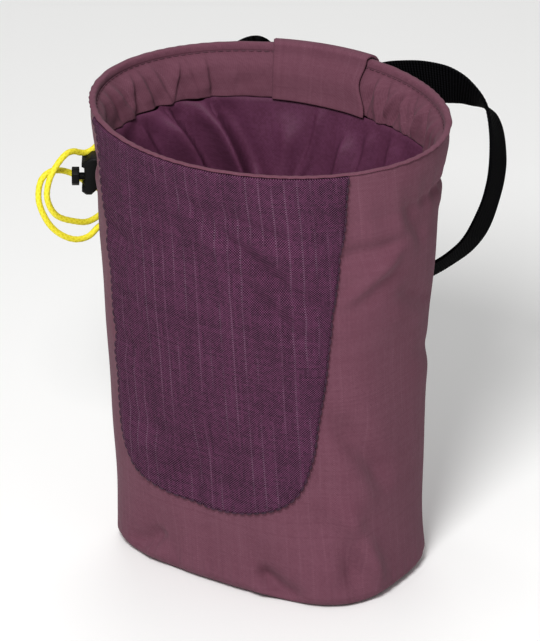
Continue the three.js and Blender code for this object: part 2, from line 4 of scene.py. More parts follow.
import bmesh
import bpy
import numpy as np
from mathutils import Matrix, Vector


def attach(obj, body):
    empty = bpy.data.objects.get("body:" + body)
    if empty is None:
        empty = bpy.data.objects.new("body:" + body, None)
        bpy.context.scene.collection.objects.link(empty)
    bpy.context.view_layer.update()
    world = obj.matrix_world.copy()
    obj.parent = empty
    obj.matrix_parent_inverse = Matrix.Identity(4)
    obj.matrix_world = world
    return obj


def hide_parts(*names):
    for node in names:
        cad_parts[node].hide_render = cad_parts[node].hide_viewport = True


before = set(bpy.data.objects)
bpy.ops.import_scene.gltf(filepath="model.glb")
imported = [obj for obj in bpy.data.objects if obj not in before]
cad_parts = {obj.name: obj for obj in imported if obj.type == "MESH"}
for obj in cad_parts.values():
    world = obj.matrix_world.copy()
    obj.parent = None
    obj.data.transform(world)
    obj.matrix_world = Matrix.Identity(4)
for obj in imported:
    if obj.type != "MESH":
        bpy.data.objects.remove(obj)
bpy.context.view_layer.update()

mm = 0.001  # tables below are in millimetres, meshes in metres

# Camera at the photograph's angle, and plain studio light. Distances are in metres.
view = {"azimuth": 33, "elevation": 26, "distance": 2.0, "lens": 321.5, "aim": (-1.32, 0.97, 88.15)}
lamps = {
    "keyLight": {"azimuth": 19, "elevation": 45, "distance": 1.1, "size": 0.34, "watts": 11.3},
    "fillLight": {"azimuth": 105, "elevation": 26, "distance": 1.3, "size": 0.9, "watts": 0.3},
    "topLight": {"azimuth": -150, "elevation": 58, "distance": 1.4, "size": 0.7, "watts": 4.2},
}
studio = {"lampAim": (0, 0, 90), "floorHalf": 6, "floorHex": "fbfbfa", "floorRoughness": 0.9,
          "skyStrength": 0.34}


def toLinear(hexColour):
    values = [int(hexColour[i:i + 2], 16) / 255 for i in (0, 2, 4)]
    return [v / 12.92 if v <= 0.04045 else ((v + 0.055) / 1.055) ** 2.4 for v in values] + [1]


def addNode(tree, kind, inputs=None, **settings):
    node = tree.nodes.new(kind)
    for name, value in settings.items():
        setattr(node, name, value)
    for socket, value in (inputs or {}).items():
        if isinstance(value, bpy.types.NodeSocket):
            tree.links.new(value, node.inputs[socket])
        else:
            node.inputs[socket].default_value = value
    return node


def addObject(name, data):
    made = bpy.data.objects.new(name, data)
    bpy.context.scene.collection.objects.link(made)
    return made


def newMaterial(name):
    material = bpy.data.materials.new(name)
    material.use_nodes = True
    return material, material.node_tree, material.node_tree.nodes["Principled BSDF"]


def viewDirection(place):
    turn = math.radians(place["azimuth"])
    rise = math.radians(place["elevation"])
    return Vector((math.sin(turn) * math.cos(rise), -math.cos(turn) * math.cos(rise), math.sin(rise)))


def standAt(thing, place, aim):
    back = viewDirection(place)
    thing.location = Vector(aim) * mm + back * place["distance"]
    thing.rotation_euler = back.to_track_quat("Z", "Y").to_euler()


def makeCamera():
    data = bpy.data.cameras.new("camera")
    data.lens = view["lens"]
    data.sensor_width = 36
    camera = addObject("camera", data)
    standAt(camera, view, view["aim"])
    bpy.context.scene.camera = camera


def makeLight(name, lamp):
    data = bpy.data.lights.new(name, "AREA")
    data.shape = "DISK"
    data.size = lamp["size"]
    data.energy = lamp["watts"]
    standAt(addObject(name, data), lamp, studio["lampAim"])


def makeStudio():
    for name, lamp in lamps.items():
        makeLight(name, lamp)
    world = bpy.data.worlds.new("studio")
    world.use_nodes = True
    sky = world.node_tree.nodes["Background"]
    sky.inputs["Color"].default_value = (1, 1, 1, 1)
    sky.inputs["Strength"].default_value = studio["skyStrength"]
    bpy.context.scene.world = world
    bpy.context.scene.view_settings.view_transform = "Standard"
    # Painted plywood, sprayed matt: no texture of its own at this distance
    paint, _, surface = newMaterial("mattPaintedFloor")
    surface.inputs["Base Color"].default_value = toLinear(studio["floorHex"])
    surface.inputs["Roughness"].default_value = studio["floorRoughness"]
    half = studio["floorHalf"]
    mesh = bpy.data.meshes.new("floor")
    corners = [(-half, -half, 0), (half, -half, 0), (half, half, 0), (-half, half, 0)]
    mesh.from_pydata(corners, [], [(0, 1, 2, 3)])
    mesh.materials.append(paint)
    floor = addObject("floor", mesh)


makeCamera()
makeStudio()
print("camera and studio made")


# Materials. Cloth patterns follow the piece's own UV map, which is in millimetres.
def mathNode(tree, operation, *values):
    return addNode(tree, "ShaderNodeMath", dict(enumerate(values)), operation=operation).outputs[0]


def remapNode(tree, value, low, high, first=0.0, last=1.0, **settings):
    inputs = {0: value, 1: low, 2: high, 3: first, 4: last}
    return addNode(tree, "ShaderNodeMapRange", inputs, **settings).outputs[0]


def mixNode(tree, share, first, last):
    return addNode(tree, "ShaderNodeMix", {0: share, 6: first, 7: last}, data_type="RGBA").outputs[2]


def clothPlace(tree):
    place = addNode(tree, "ShaderNodeUVMap", uv_map="cloth").outputs[0]
    split = addNode(tree, "ShaderNodeSeparateXYZ", {0: place})
    return place, split.outputs[0], split.outputs[1]


def finishSurface(tree, surface, finish, colour, height, reliefMm):
    tree.links.new(colour, surface.inputs["Base Color"])
    bump = addNode(tree, "ShaderNodeBump", {
        "Height": height, "Strength": finish["bump"], "Distance": reliefMm * mm})
    tree.links.new(bump.outputs[0], surface.inputs["Normal"])
    surface.inputs["Roughness"].default_value = finish["roughness"]
    surface.inputs["Specular IOR Level"].default_value = finish["specular"]


def wovenCloth(name, cloth):
    material, tree, surface = newMaterial(name)
    calculate = partial(mathNode, tree)
    product = partial(mathNode, tree, "MULTIPLY")
    total = partial(mathNode, tree, "ADD")
    remap = partial(remapNode, tree, interpolation_type="SMOOTHSTEP")
    mixColour = partial(mixNode, tree)
    place, across, along = clothPlace(tree)

    def randomTone(socket, value, dimensions):
        noise = addNode(tree, "ShaderNodeTexWhiteNoise", {socket: value}, noise_dimensions=dimensions)
        return noise.outputs[0]

    # plain weave: each crossing shows its warp or its weft thread
    warp = calculate("SINE", product(across, 2 * math.pi / cloth["threadMm"]))
    weft = calculate("SINE", product(along, 2 * math.pi / cloth["threadMm"]))
    weave = product(warp, weft)
    # yarns differ in tone along their whole length, and crossings a little by chance
    warpNumber = calculate("FLOOR", calculate("DIVIDE", across, cloth["threadMm"]))
    weftNumber = calculate("FLOOR", calculate("DIVIDE", along, cloth["threadMm"]))
    warpTone = randomTone("W", warpNumber, "1D")
    weftTone = randomTone("W", total(weftNumber, 517.0), "1D")
    crossing = addNode(tree, "ShaderNodeCombineXYZ", {0: warpNumber, 1: weftNumber}).outputs[0]
    chance = randomTone("Vector", crossing, "2D")
    yarn = product(total(warpTone, weftTone), 0.5 * cloth["yarnShare"])
    yarn = total(yarn, product(chance, 1 - cloth["yarnShare"]))
    # rubbed and folded places: broad cloudy changes of tone, drawn out along the warp
    drawn = addNode(tree, "ShaderNodeMapping", {0: place, "Scale": (0.09, 0.03, 1)}).outputs[0]
    patches = addNode(tree, "ShaderNodeTexNoise", {"Vector": drawn, "Scale": 1.0, "Detail": 4.0}).outputs[0]
    # ripstop: one thicker, paler thread in every grid cell, a row of dots where it surfaces
    ribs = []
    for direction, other, share in ((across, weft, 1.0), (along, warp, cloth["weftShare"])):
        cell = calculate("FRACT", calculate("DIVIDE", direction, cloth["gridMm"]))
        aside = calculate("ABSOLUTE", calculate("SUBTRACT", cell, 0.5))
        line = remap(aside, 0.0, 0.55 * cloth["threadMm"] / cloth["gridMm"], share, 0.0)
        ribs.append(product(line, remap(other, -0.2, 0.9)))
    lines = product(calculate("MAXIMUM", ribs[0], ribs[1]), remap(patches, 0.4, 0.62))
    tone = total(product(yarn, 0.55), product(patches, 0.45))
    cloud = remap(tone, 0.25, 0.75)
    twoTone = mixColour(cloud, toLinear(cloth["darkHex"]), toLinear(cloth["lightHex"]))
    raised = product(remap(weave, -0.2, 1.0), cloth["weaveTone"])
    woven = mixColour(raised, twoTone, toLinear(cloth["threadHex"]))
    colour = mixColour(product(lines, cloth["lineTone"]), woven, toLinear(cloth["lineHex"]))
    height = total(product(weave, 0.5), total(lines, yarn))
    finishSurface(tree, surface, cloth, colour, height, cloth["threadMm"] * 0.25)
    surface.inputs["Sheen Weight"].default_value = cloth["sheen"]
    surface.inputs["Sheen Roughness"].default_value = 0.4
    return material


# Polyester ripstop, piece-dyed: matt, soft sheen, faint lines 5 mm apart. The real threads are about
# 0.3 mm, too fine to show, so they are drawn at 0.8 mm.
mauveCloth = {"darkHex": "623a48", "lightHex": "6a4250", "threadHex": "744b59", "lineHex": "845b69",
              "threadMm": 0.8, "yarnShare": 0.6, "gridMm": 4.6, "weftShare": 0.3, "weaveTone": 0.5,
              "lineTone": 0.42, "bump": 0.4, "roughness": 0.88, "sheen": 0.04, "specular": 0.12}
# Melange ripstop of dark and light plum yarn: speckled, with rows of light dots down the cloth
panelCloth = {"darkHex": "1c0716", "lightHex": "421d35", "threadHex": "875a78", "lineHex": "b294aa",
              "threadMm": 0.86, "yarnShare": 0.5, "gridMm": 4.3, "weftShare": 0.05, "weaveTone": 0.68,
              "lineTone": 0.26, "bump": 0.6, "roughness": 0.9, "sheen": 0.0, "specular": 0.05}
# Coated nylon taffeta: closely woven and smoother, so it shines a little in its folds
liningCloth = {**mauveCloth, "darkHex": "51283f", "lightHex": "5a2f49", "threadHex": "6a4158",
               "lineHex": "7c546b", "yarnShare": 0.35, "weftShare": 0.4, "weaveTone": 0.3, "lineTone": 0.16,
               "bump": 0.25, "roughness": 0.56, "sheen": 0.0, "specular": 0.14}


def plainFinish(name, finish):
    material, tree, surface = newMaterial(name)
    place = addNode(tree, "ShaderNodeTexCoord").outputs["Object"]
    grain = addNode(tree, "ShaderNodeTexNoise", {
        "Vector": place, "Scale": 1 / (finish["grainMm"] * mm), "Detail": 3.0}).outputs[0]
    patches = addNode(tree, "ShaderNodeTexNoise", {"Vector": place, "Scale": 90.0, "Detail": 2.0}).outputs[0]
    tone = remapNode(tree, patches, 0.3, 0.7)
    colour = mixNode(tree, tone, toLinear(finish["darkHex"]), toLinear(finish["lightHex"]))
    finishSurface(tree, surface, finish, colour, grain, finish["grainMm"] * 0.3)
    rough = remapNode(tree, grain, 0.3, 0.7, finish["roughness"] - 0.08, finish["roughness"] + 0.08)
    tree.links.new(rough, surface.inputs["Roughness"])
    return material


# Acetal, injection moulded in a spark-eroded mould: fine grain, half matt
mouldedPlastic = {"darkHex": "040404", "lightHex": "080808", "grainMm": 0.25, "roughness": 0.5,
                  "bump": 0.3, "specular": 0.12}
# Bonded polyester sewing thread, dyed to match the cloth and lightly waxed
plumThread = {"darkHex": "260d1f", "lightHex": "38182f", "grainMm": 0.3, "roughness": 0.6,
              "bump": 0.5, "specular": 0.3}
mauveThread = {**plumThread, "darkHex": "4c2c38", "lightHex": "5d3946"}
# Nylon webbing, woven on a narrow loom: its ribs are modelled, and the finish adds the yarn and paints bands
# lighter and darker at the rib pitch, a painted rib highlight and groove shade
nylonWebbing = {"darkHex": "000000", "lightHex": "0e0e10", "ribMm": 1.1, "yarnMm": 0.9, "bump": 0.5,
                "reliefMm": 0.15, "roughness": 0.8, "specular": 0.02}
# Braided polypropylene cord, spun-dyed bright yellow: waxy, each strand catches a little light, and its
# colour is painted lighter on the strands' crests and darker between them, a painted highlight and shade
yellowBraid = {"darkHex": "e0d128", "lightHex": "eee23e", "strands": 4, "plaitMm": 2.4, "bump": 0.4,
               "reliefMm": 0.08, "roughness": 0.6, "specular": 0.2}


def ribbedWebbing(name, webbing):
    material, tree, surface = newMaterial(name)
    _, along, across = clothPlace(tree)
    yarn = mathNode(tree, "SINE", mathNode(tree, "MULTIPLY", across, 2 * math.pi / webbing["yarnMm"]))
    paintedRibShade = mathNode(tree, "COSINE", mathNode(tree, "MULTIPLY", along, 2 * math.pi / webbing["ribMm"]))
    # painted highlight and shade: lighter bands for the rib crests, darker bands for the grooves between them
    tone = remapNode(tree, paintedRibShade, -1.0, 1.0)
    colour = mixNode(tree, tone, toLinear(webbing["darkHex"]), toLinear(webbing["lightHex"]))
    finishSurface(tree, surface, webbing, colour, yarn, webbing["reliefMm"])
    return material


def braidedCord(name, braid):
    material, tree, surface = newMaterial(name)
    _, along, around = clothPlace(tree)
    lengthwise = mathNode(tree, "MULTIPLY", along, 2 * math.pi / braid["plaitMm"])
    waves = []
    for side in (1, -1):
        turned = mathNode(tree, "MULTIPLY", around, side * braid["strands"] * 2 * math.pi)
        waves.append(mathNode(tree, "SINE", mathNode(tree, "ADD", turned, lengthwise)))
    plait = mathNode(tree, "MAXIMUM", *waves)
    # painted highlight and shade: the colour follows the plait, lighter on each strand's crest and darker in
    # the gaps
    tone = remapNode(tree, plait, -0.4, 1.0)
    colour = mixNode(tree, tone, toLinear(braid["darkHex"]), toLinear(braid["lightHex"]))
    finishSurface(tree, surface, braid, colour, plait, braid["reliefMm"])
    return material


mauveRipstop = wovenCloth("mauvePolyesterRipstopWoven", mauveCloth)
panelRipstop = wovenCloth("plumMelangeRipstopWoven", panelCloth)
liningTaffeta = wovenCloth("plumTaffetaCoated", liningCloth)
blackPlastic = plainFinish("blackAcetalMoulded", mouldedPlastic)
panelThread = plainFinish("plumPolyesterThreadSewn", plumThread)
clothThread = plainFinish("mauvePolyesterThreadSewn", mauveThread)
blackWebbing = ribbedWebbing("blackNylonWebbingWoven", nylonWebbing)
yellowCord = braidedCord("yellowPolypropyleneCordBraided", yellowBraid)
print("materials made")


def namedRows(names, rows):
    return [dict(zip(names.split(), row)) for row in rows]


# The bag's shape, the same tables as its solids: shares of the named sizes
bag = {
    "height": 170, "rimHalfWidth": 65, "rimHalfDepth": 54.9, "baseHalfWidth": 54.4, "baseHalfDepth": 36.2,
    "gap": 0.3, "shellWall": 1.0, "shellSteps": 264, "baseWall": 1.6, "baseSteps": 200, "cornerRadius": 5,
    "panelWall": 1.0,
    "rollOut": 0.6, "rollTuck": 0.65, "collarDepth": 18, "channelTop": 2.6, "channelFull": 8.5,
    "facingWall": 1.0, "channelRoom": 3.0, "gatherDepth": 0.9,
    "sections": namedRows("up wide deep square lean", [
        (0, 0, 0, 3.2, 0), (0.14, 0, 0.04, 3.1, -0.014), (0.3, 0.11, 0.17, 2.85, -0.025),
        (0.5, 0.22, 0.34, 2.65, -0.031), (0.7, 0.5, 0.53, 2.35, -0.028), (0.82, 0.62, 0.66, 2.22, -0.026),
        (0.885, 0.67, 0.76, 2.15, -0.022), (0.95, 0.95, 0.91, 1.98, -0.019),
        (1, 1, 1, 1.95, -0.013),
    ]),
    "dents": namedRows("at wide up tall deep", [
        (-58, 11, 0.07, 0.06, -0.024), (-36, 10, 0.3, 0.15, -0.017), (-66, 12, 0.3, 0.12, 0.012),
        (-14, 14, 0.56, 0.12, -0.014), (-122, 10, 0.08, 0.07, -0.021), (-92, 26, 0.5, 0.16, 0.014),
        (-148, 12, 0.38, 0.16, -0.015), (62, 14, 0.3, 0.14, -0.018), (118, 14, 0.42, 0.14, -0.016),
        (90, 20, 0.12, 0.08, 0.012),
    ]),
    # finer creases of the outer cloth, from one place to another; wide and deep in mm
    "creases": namedRows("at up toAt toUp wide deep", [
        (-30, 0.43, -10, 0.265, 5, -2.4), (-62, 0.056, -45, 0.012, 4.2, -3.4),
        (-139, 0.03, -124, 0.078, 3.4, -2), (-24, 0.18, -24, 0.06, 4, -1.3),
        (-29, 0.23, -14, 0.05, 4, 2.6), (-86, 0.9, -38, 0.69, 3.2, -1.6),
        (-77, 0.9, -49, 0.85, 3, -1.2), (-72, 0.79, -40, 0.6, 3.6, -1.4),
        (-138, 0.53, -120, 0.5, 4, -0.5), (-136, 0.77, -120, 0.755, 4, -0.9),
        (-132, 0.36, -108, 0.33, 5, -0.5), (-112, 0.28, -88, 0.4, 6, 0.6),
        (-31, 0.81, -9, 0.81, 3.4, -1.3), (-29, 0.71, -10, 0.8, 3, 1),
        (-6, 0.69, 14, 0.62, 3.4, -1), (-7, 0.88, 4, 0.79, 3.2, -1.1), (4, 0.88, 44, 0.86, 2.6, -0.9),
        (10, 0.52, 40, 0.46, 4, -0.5), (-172, 0.87, -148, 0.85, 2.6, -0.8),
        (150, 0.6, 176, 0.48, 4, -1.2), (66, 0.5, 98, 0.36, 4.5, -1.2),
        (128, 0.2, 108, 0.06, 4, -1.2), (120, 0.74, 142, 0.64, 4, -0.9),
    ]),
}
bag["facingOut"] = -(bag["shellWall"] + bag["channelRoom"])
bag["facingIn"] = bag["facingOut"] - bag["facingWall"]
bag["slimOut"] = -(bag["shellWall"] + bag["gap"])
bag["slimIn"] = bag["slimOut"] - bag["facingWall"]
bag["clothTop"] = bag["height"] - bag["rollTuck"]
bag["facingBottom"] = bag["height"] - bag["collarDepth"]


def smoothColumn(rows, column, up):
    ups = np.array([row["up"] for row in rows], float)
    values = np.array([row[column] for row in rows], float)
    last = len(rows) - 1
    before = np.maximum(np.arange(last + 1) - 1, 0)
    after = np.minimum(np.arange(last + 1) + 1, last)
    slopes = (values[after] - values[before]) / (ups[after] - ups[before])
    place = np.clip(up, ups[0], ups[-1])
    i = np.clip(np.searchsorted(ups, place) - 1, 0, last - 1)
    span = ups[i + 1] - ups[i]
    t = (place - ups[i]) / span
    rise = values[i + 1] - values[i]
    start = slopes[i] * span
    end = slopes[i + 1] * span
    return values[i] + t * (start + t * (3 * rise - 2 * start - end + t * (start + end - 2 * rise)))


def smoothStep(low, high, value):
    t = np.clip((value - low) / (high - low), 0, 1)
    return t * t * (3 - 2 * t)


def bell(t):
    return np.exp(-t * t)


def turnBetween(a, b):
    return (a - b + 180) % 360 - 180


def sectionAt(z):
    up = z / bag["height"]
    wide = smoothColumn(bag["sections"], "wide", up)
    deep = smoothColumn(bag["sections"], "deep", up)
    a = bag["baseHalfWidth"] + wide * (bag["rimHalfWidth"] - bag["baseHalfWidth"])
    b = bag["baseHalfDepth"] + deep * (bag["rimHalfDepth"] - bag["baseHalfDepth"])
    n = smoothColumn(bag["sections"], "square", up)
    return a, b, n, smoothColumn(bag["sections"], "lean", up) * bag["rimHalfWidth"]


# Fine relief of the outer cloth: depths in mm, counts round the bag, seamUp where the collar is sewn on.
# Slow swells are a few long waves in fixed random directions.
relief = {"mmPerDegree": 0.95, "creaseGain": 1.5, "swellDeep": 0.12, "swellHalfWidth": 55,
          "swellHalfDepth": 48, "seamUp": 0.885, "puckers": 34, "puckerDeep": 0.75, "ripples": 58,
          "rippleDeep": 0.16}
sleeveMiddle = 103  # degrees, where the cloth lies flat under the belt sleeve
swellSeed = np.random.default_rng(11)
swellWaves = swellSeed.normal(size=(16, 3)) * (2 * np.pi / swellSeed.uniform(26, 75, 16))[:, None] * 0.7
swellPhases = swellSeed.uniform(0, 2 * np.pi, 16)


def pleatWave(angle, z):
    # unevenly spaced pleats that slant a little
    slanted = angle - 0.09 * (bag["height"] - z) / bag["collarDepth"]
    phase = relief["puckers"] * slanted + 1.4 * np.sin(3 * slanted + 1.0) + 0.9 * np.sin(7 * slanted)
    return (0.5 + 0.5 * np.sin(phase)) ** 1.6


def clothDetail(angle, z):
    degrees = np.degrees(angle)
    up = z / bag["height"]
    depth = np.zeros(np.broadcast(angle, z).shape)
    for crease in bag["creases"]:
        arc = relief["mmPerDegree"] * turnBetween(degrees, crease["at"])
        rise = z - crease["up"] * bag["height"]
        run = relief["mmPerDegree"] * turnBetween(crease["toAt"], crease["at"])
        climb = (crease["toUp"] - crease["up"]) * bag["height"]
        length = math.hypot(run, climb)
        along = (arc * run + rise * climb) / length ** 2
        beside = (arc * climb - rise * run) / length
        fade = smoothStep(-0.25, 0.25, along) * (1 - smoothStep(0.75, 1.25, along))
        # the cloth swells a little along one side of its crease
        swell = bell((beside - 1.9 * crease["wide"]) / (1.4 * crease["wide"]))
        shape = bell(beside / crease["wide"]) - 0.5 * swell
        depth = depth + relief["creaseGain"] * crease["deep"] * fade * shape
    x = relief["swellHalfWidth"] * np.cos(angle)
    y = relief["swellHalfDepth"] * np.sin(angle)
    for wave, phase in zip(swellWaves, swellPhases):
        depth = depth + relief["swellDeep"] * np.sin(wave[0] * x + wave[1] * y + wave[2] * z + phase)
    # the drawn-in seam of the collar puckers the cloth below and above it
    sides = 0.25 + 0.75 * np.cos(angle) ** 2
    fromSeam = up - relief["seamUp"]
    pucker = pleatWave(angle, z) * bell(fromSeam / 0.05) - 0.35 * bell(fromSeam / 0.008)
    depth = depth + relief["puckerDeep"] * sides * pucker
    # little ripples where the base is sewn in
    ripple = np.sin(relief["ripples"] * angle + 2 * np.sin(5 * angle))
    depth = depth + relief["rippleDeep"] * ripple * bell((z - 5) / 5)
    quiet = 1 - bell(turnBetween(degrees, sleeveMiddle) / 26) * smoothStep(0.78, 0.84, up)
    return depth * quiet * smoothStep(0.4, 4, z) * (1 - smoothStep(163, 168, z))


def dentDepth(angle, z):
    degrees = np.degrees(angle)
    total = 0
    for dent in bag["dents"]:
        side = turnBetween(degrees, dent["at"]) / dent["wide"]
        total = total + dent["deep"] * bell(side) * bell((z / bag["height"] - dent["up"]) / dent["tall"])
    return total * bag["rimHalfWidth"]


def bagPoint(angle, z, out, ring=None, shrink=1.0, detail=1.0, dents=1.0):
    ring = z if ring is None else ring
    angle, z, out, ring = np.broadcast_arrays(angle, z, out, ring)
    a, b, n, middle = sectionAt(ring)
    wide = np.abs(np.cos(angle)) / (a + out)
    deep = np.abs(np.sin(angle)) / (b + out)
    reach = (wide ** n + deep ** n) ** (-1 / n) + dents * dentDepth(angle, ring)
    reach = (reach + detail * clothDetail(angle, ring)) * shrink
    return np.stack([middle + reach * np.cos(angle), reach * np.sin(angle), z], axis=-1)


def angleAt(x, z, side):
    a, b, n, middle = sectionAt(np.asarray(z, float))
    share = np.minimum(np.abs(x - middle) / a, 1)
    return np.arctan2(side * b * (1 - share ** n) ** (1 / n), x - middle)


def unit(vectors):
    return vectors / np.linalg.norm(vectors, axis=-1, keepdims=True)


def edgeRound(distance, radius):
    return np.sqrt(np.clip(1 - (1 - np.clip(distance / radius, 0, 1)) ** 2, 0, 1))


def runLength(points, axis=0):
    steps = np.linalg.norm(np.diff(points, axis=axis), axis=-1)
    start = np.zeros_like(steps.take([0], axis=axis))
    return np.concatenate([start, np.cumsum(steps, axis=axis)], axis=axis)


def lengthRound(z, out, ring, shrink):
    # running length of the cloth round the bag in every row, 0 at the middle of the front
    around = np.linspace(-1.5 * np.pi, 0.5 * np.pi, 361)[None]
    rows = [np.asarray(value, float)[:, None] for value in (z, out, ring, shrink)]
    length = runLength(bagPoint(around, *rows, detail=0.0, dents=0.0), axis=1)
    return around[0], length - length[:, 180:181]


def makePiece(name, corners, faces, material, uvs):
    mesh = bpy.data.meshes.new(name)
    mesh.from_pydata((np.asarray(corners).reshape(-1, 3) * mm).tolist(), [], faces)
    layer = mesh.uv_layers.new(name="cloth")
    layer.data.foreach_set("uv", np.asarray(uvs, np.float32).ravel())
    mesh.materials.append(material)
    mesh.shade_smooth()
    mesh.update()
    piece = addObject(name, mesh)
    turnOutwards(piece)
    return piece


def turnOutwards(piece):
    work = bmesh.new()
    work.from_mesh(piece.data)
    bmesh.ops.recalc_face_normals(work, faces=work.faces)
    if work.calc_volume(signed=True) < 0:
        bmesh.ops.reverse_faces(work, faces=work.faces)
    work.to_mesh(piece.data)
    work.free()


def gridFaces(rows, columns, wrapRows, wrapColumns, start=0):
    r = np.arange(rows if wrapRows else rows - 1)
    c = np.arange(columns if wrapColumns else columns - 1)
    r, c = np.meshgrid(r, c, indexing="ij")
    here = r * columns
    above = (r + 1) % rows * columns
    after = (c + 1) % columns
    quads = np.stack([here + c, here + after, above + after, above + c], axis=-1)
    return quads.reshape(-1, 4) + start


def endCaps(rows, columns):
    last = (rows - 1) * columns
    return [list(range(columns))[::-1], list(range(last, last + columns))]


def gridUvs(us, vs):
    # one value more than the columns where they wrap, and one more than the rows where those do
    grid = np.stack(np.broadcast_arrays(us, vs), axis=-1)
    corners = [grid[:-1, :-1], grid[:-1, 1:], grid[1:, 1:], grid[1:, :-1]]
    return np.stack(corners, axis=2).reshape(-1, 2)


def profileRow(z, out, ring=None, shrink=1.0, hang=0.0):
    return z, out, z if ring is None else ring, shrink, hang


def ringPiece(name, rows, steps, material, offset=None, closed=True):
    profile = np.array(rows, float)
    # columns start at the middle of the back, so that the cloth's joint is there
    angles = np.linspace(-1.5 * np.pi, 0.5 * np.pi, steps + 1)
    turn = angles[:-1][None, :]
    column = profile[:, :, None]
    out = column[:, 1] + (offset(turn, column) if offset else 0)
    points = bagPoint(turn, column[:, 0], out, column[:, 2], column[:, 3]).reshape(-1, 3)
    around, length = lengthRound(*profile[:, :4].T)
    us = np.stack([np.interp(angles, around, row) for row in length])
    middle = bagPoint(-0.5 * np.pi, *profile[:, :4].T, 0.0)
    vs = runLength(np.vstack([middle, middle[:1]]))
    if closed:
        us = np.vstack([us, us[:1]])
    uvs = gridUvs(us, (vs if closed else vs[:-1])[:, None])
    faces = gridFaces(len(profile), steps, closed, True).tolist()
    if not closed:
        # caps over the narrow first and last rings
        for ring in endCaps(len(profile), steps):
            faces.append(ring)
            uvs = np.vstack([uvs, points[ring][:, :2]])
    return makePiece(name, points, faces, material, uvs)


def sheetPiece(name, layers, us, vs, material):
    # closed sheet between two grids of points, joined along its border
    rows, columns = us.shape
    count = rows * columns
    ring = ([(0, c) for c in range(columns - 1)] + [(r, columns - 1) for r in range(rows - 1)]
            + [(rows - 1, c) for c in range(columns - 1, 0, -1)] + [(r, 0) for r in range(rows - 1, 0, -1)])
    loop = np.array([r * columns + c for r, c in ring])
    after = np.roll(loop, -1)
    border = np.stack([loop, after, after + count, loop + count], axis=1)
    sides = [gridFaces(rows, columns, False, False, start) for start in (0, count)]
    quads = np.vstack([*sides, border])
    points = np.vstack([layer.reshape(-1, 3) for layer in layers])
    uvs = np.tile(np.stack([us.ravel(), vs.ravel()], axis=1), (2, 1))
    return makePiece(name, points, quads.tolist(), material, uvs[quads.ravel()])


# The drawcord, repeated from its solid's route
drawCord = {"diameter": 2.2, "sides": 16, "ringMm": 0.3, "plaitMm": 2.4, "strands": 4, "reliefMm": 0.03}
cordPoints = [
    (-60.6, -5.4, 151.4), (-64, -5.4, 150.6), (-66.7, -5.9, 147.4), (-67.4, -7.2, 143.2),
    (-68.4, -9.3, 141.3), (-69.7, -11.6, 140.5), (-70.7, -14.1, 141.2), (-71.3, -17, 142.6),
    (-71.9, -20.4, 142.8), (-72.9, -24.7, 140.1), (-73.7, -28.8, 135), (-73.6, -30.2, 129),
    (-72, -27.4, 122), (-69, -20, 117.4), (-67.3, -14.6, 115.7), (-65.8, -9.2, 116.7),
    (-65.4, -2.4, 119.1), (-65.4, 0.3, 118.1), (-65.4, 1.5, 115.5), (-65.4, 0.3, 112.9),
    (-65.4, -2.4, 111.9), (-66.4, -9.2, 111.9), (-68, -13.2, 109.3), (-70.1, -17.6, 109.2),
    (-72.4, -21.5, 111.2), (-74.8, -24.7, 114.6), (-76.8, -27, 119.3), (-78.6, -28.4, 126.8),
    (-78.6, -26.5, 133.4), (-77.4, -23, 135.5), (-76, -18.8, 134.8), (-74.4, -14.9, 132.8),
    (-72.1, -12.5, 130.6), (-69.8, -10.8, 128.2), (-68.3, -8.8, 126.3), (-67.3, -5.6, 125.8),
    (-66.7, -2.5, 128), (-66.4, -0.8, 136), (-65.6, -0.8, 147), (-60.6, -0.8, 151.4),
]


def smoothRoute(points, spacing, closed=False, power=0.5):
    # Catmull-Rom curve through the points: centripetal for the cord, even steps for the belt
    points = np.array(points, float)
    if closed:
        line = np.vstack([points[-1:], points, points[:2]])
    else:
        line = np.vstack([2 * points[0] - points[1], points, 2 * points[-1] - points[-2]])
    parts = []
    for i in range(1, len(line) - 2):
        p = line[i - 1:i + 3]
        gaps = np.linalg.norm(np.diff(p, axis=0), axis=1) ** power
        t = np.concatenate([[0], np.cumsum(gaps)])
        u = np.linspace(t[1], t[2], 24, endpoint=False)[:, None]
        a = [((t[k + 1] - u) * p[k] + (u - t[k]) * p[k + 1]) / (t[k + 1] - t[k]) for k in range(3)]
        b = [((t[k + 2] - u) * a[k] + (u - t[k]) * a[k + 1]) / (t[k + 2] - t[k]) for k in range(2)]
        parts.append(((t[2] - u) * b[0] + (u - t[1]) * b[1]) / (t[2] - t[1]))
    parts.append(points[:1] if closed else points[-1:])
    dense = np.vstack(parts)
    length = runLength(dense)
    count = int(round(length[-1] / spacing)) + 1
    places = np.linspace(0, length[-1], count)
    route = np.stack([np.interp(places, length, dense[:, k]) for k in range(dense.shape[1])], axis=1)
    return route, places


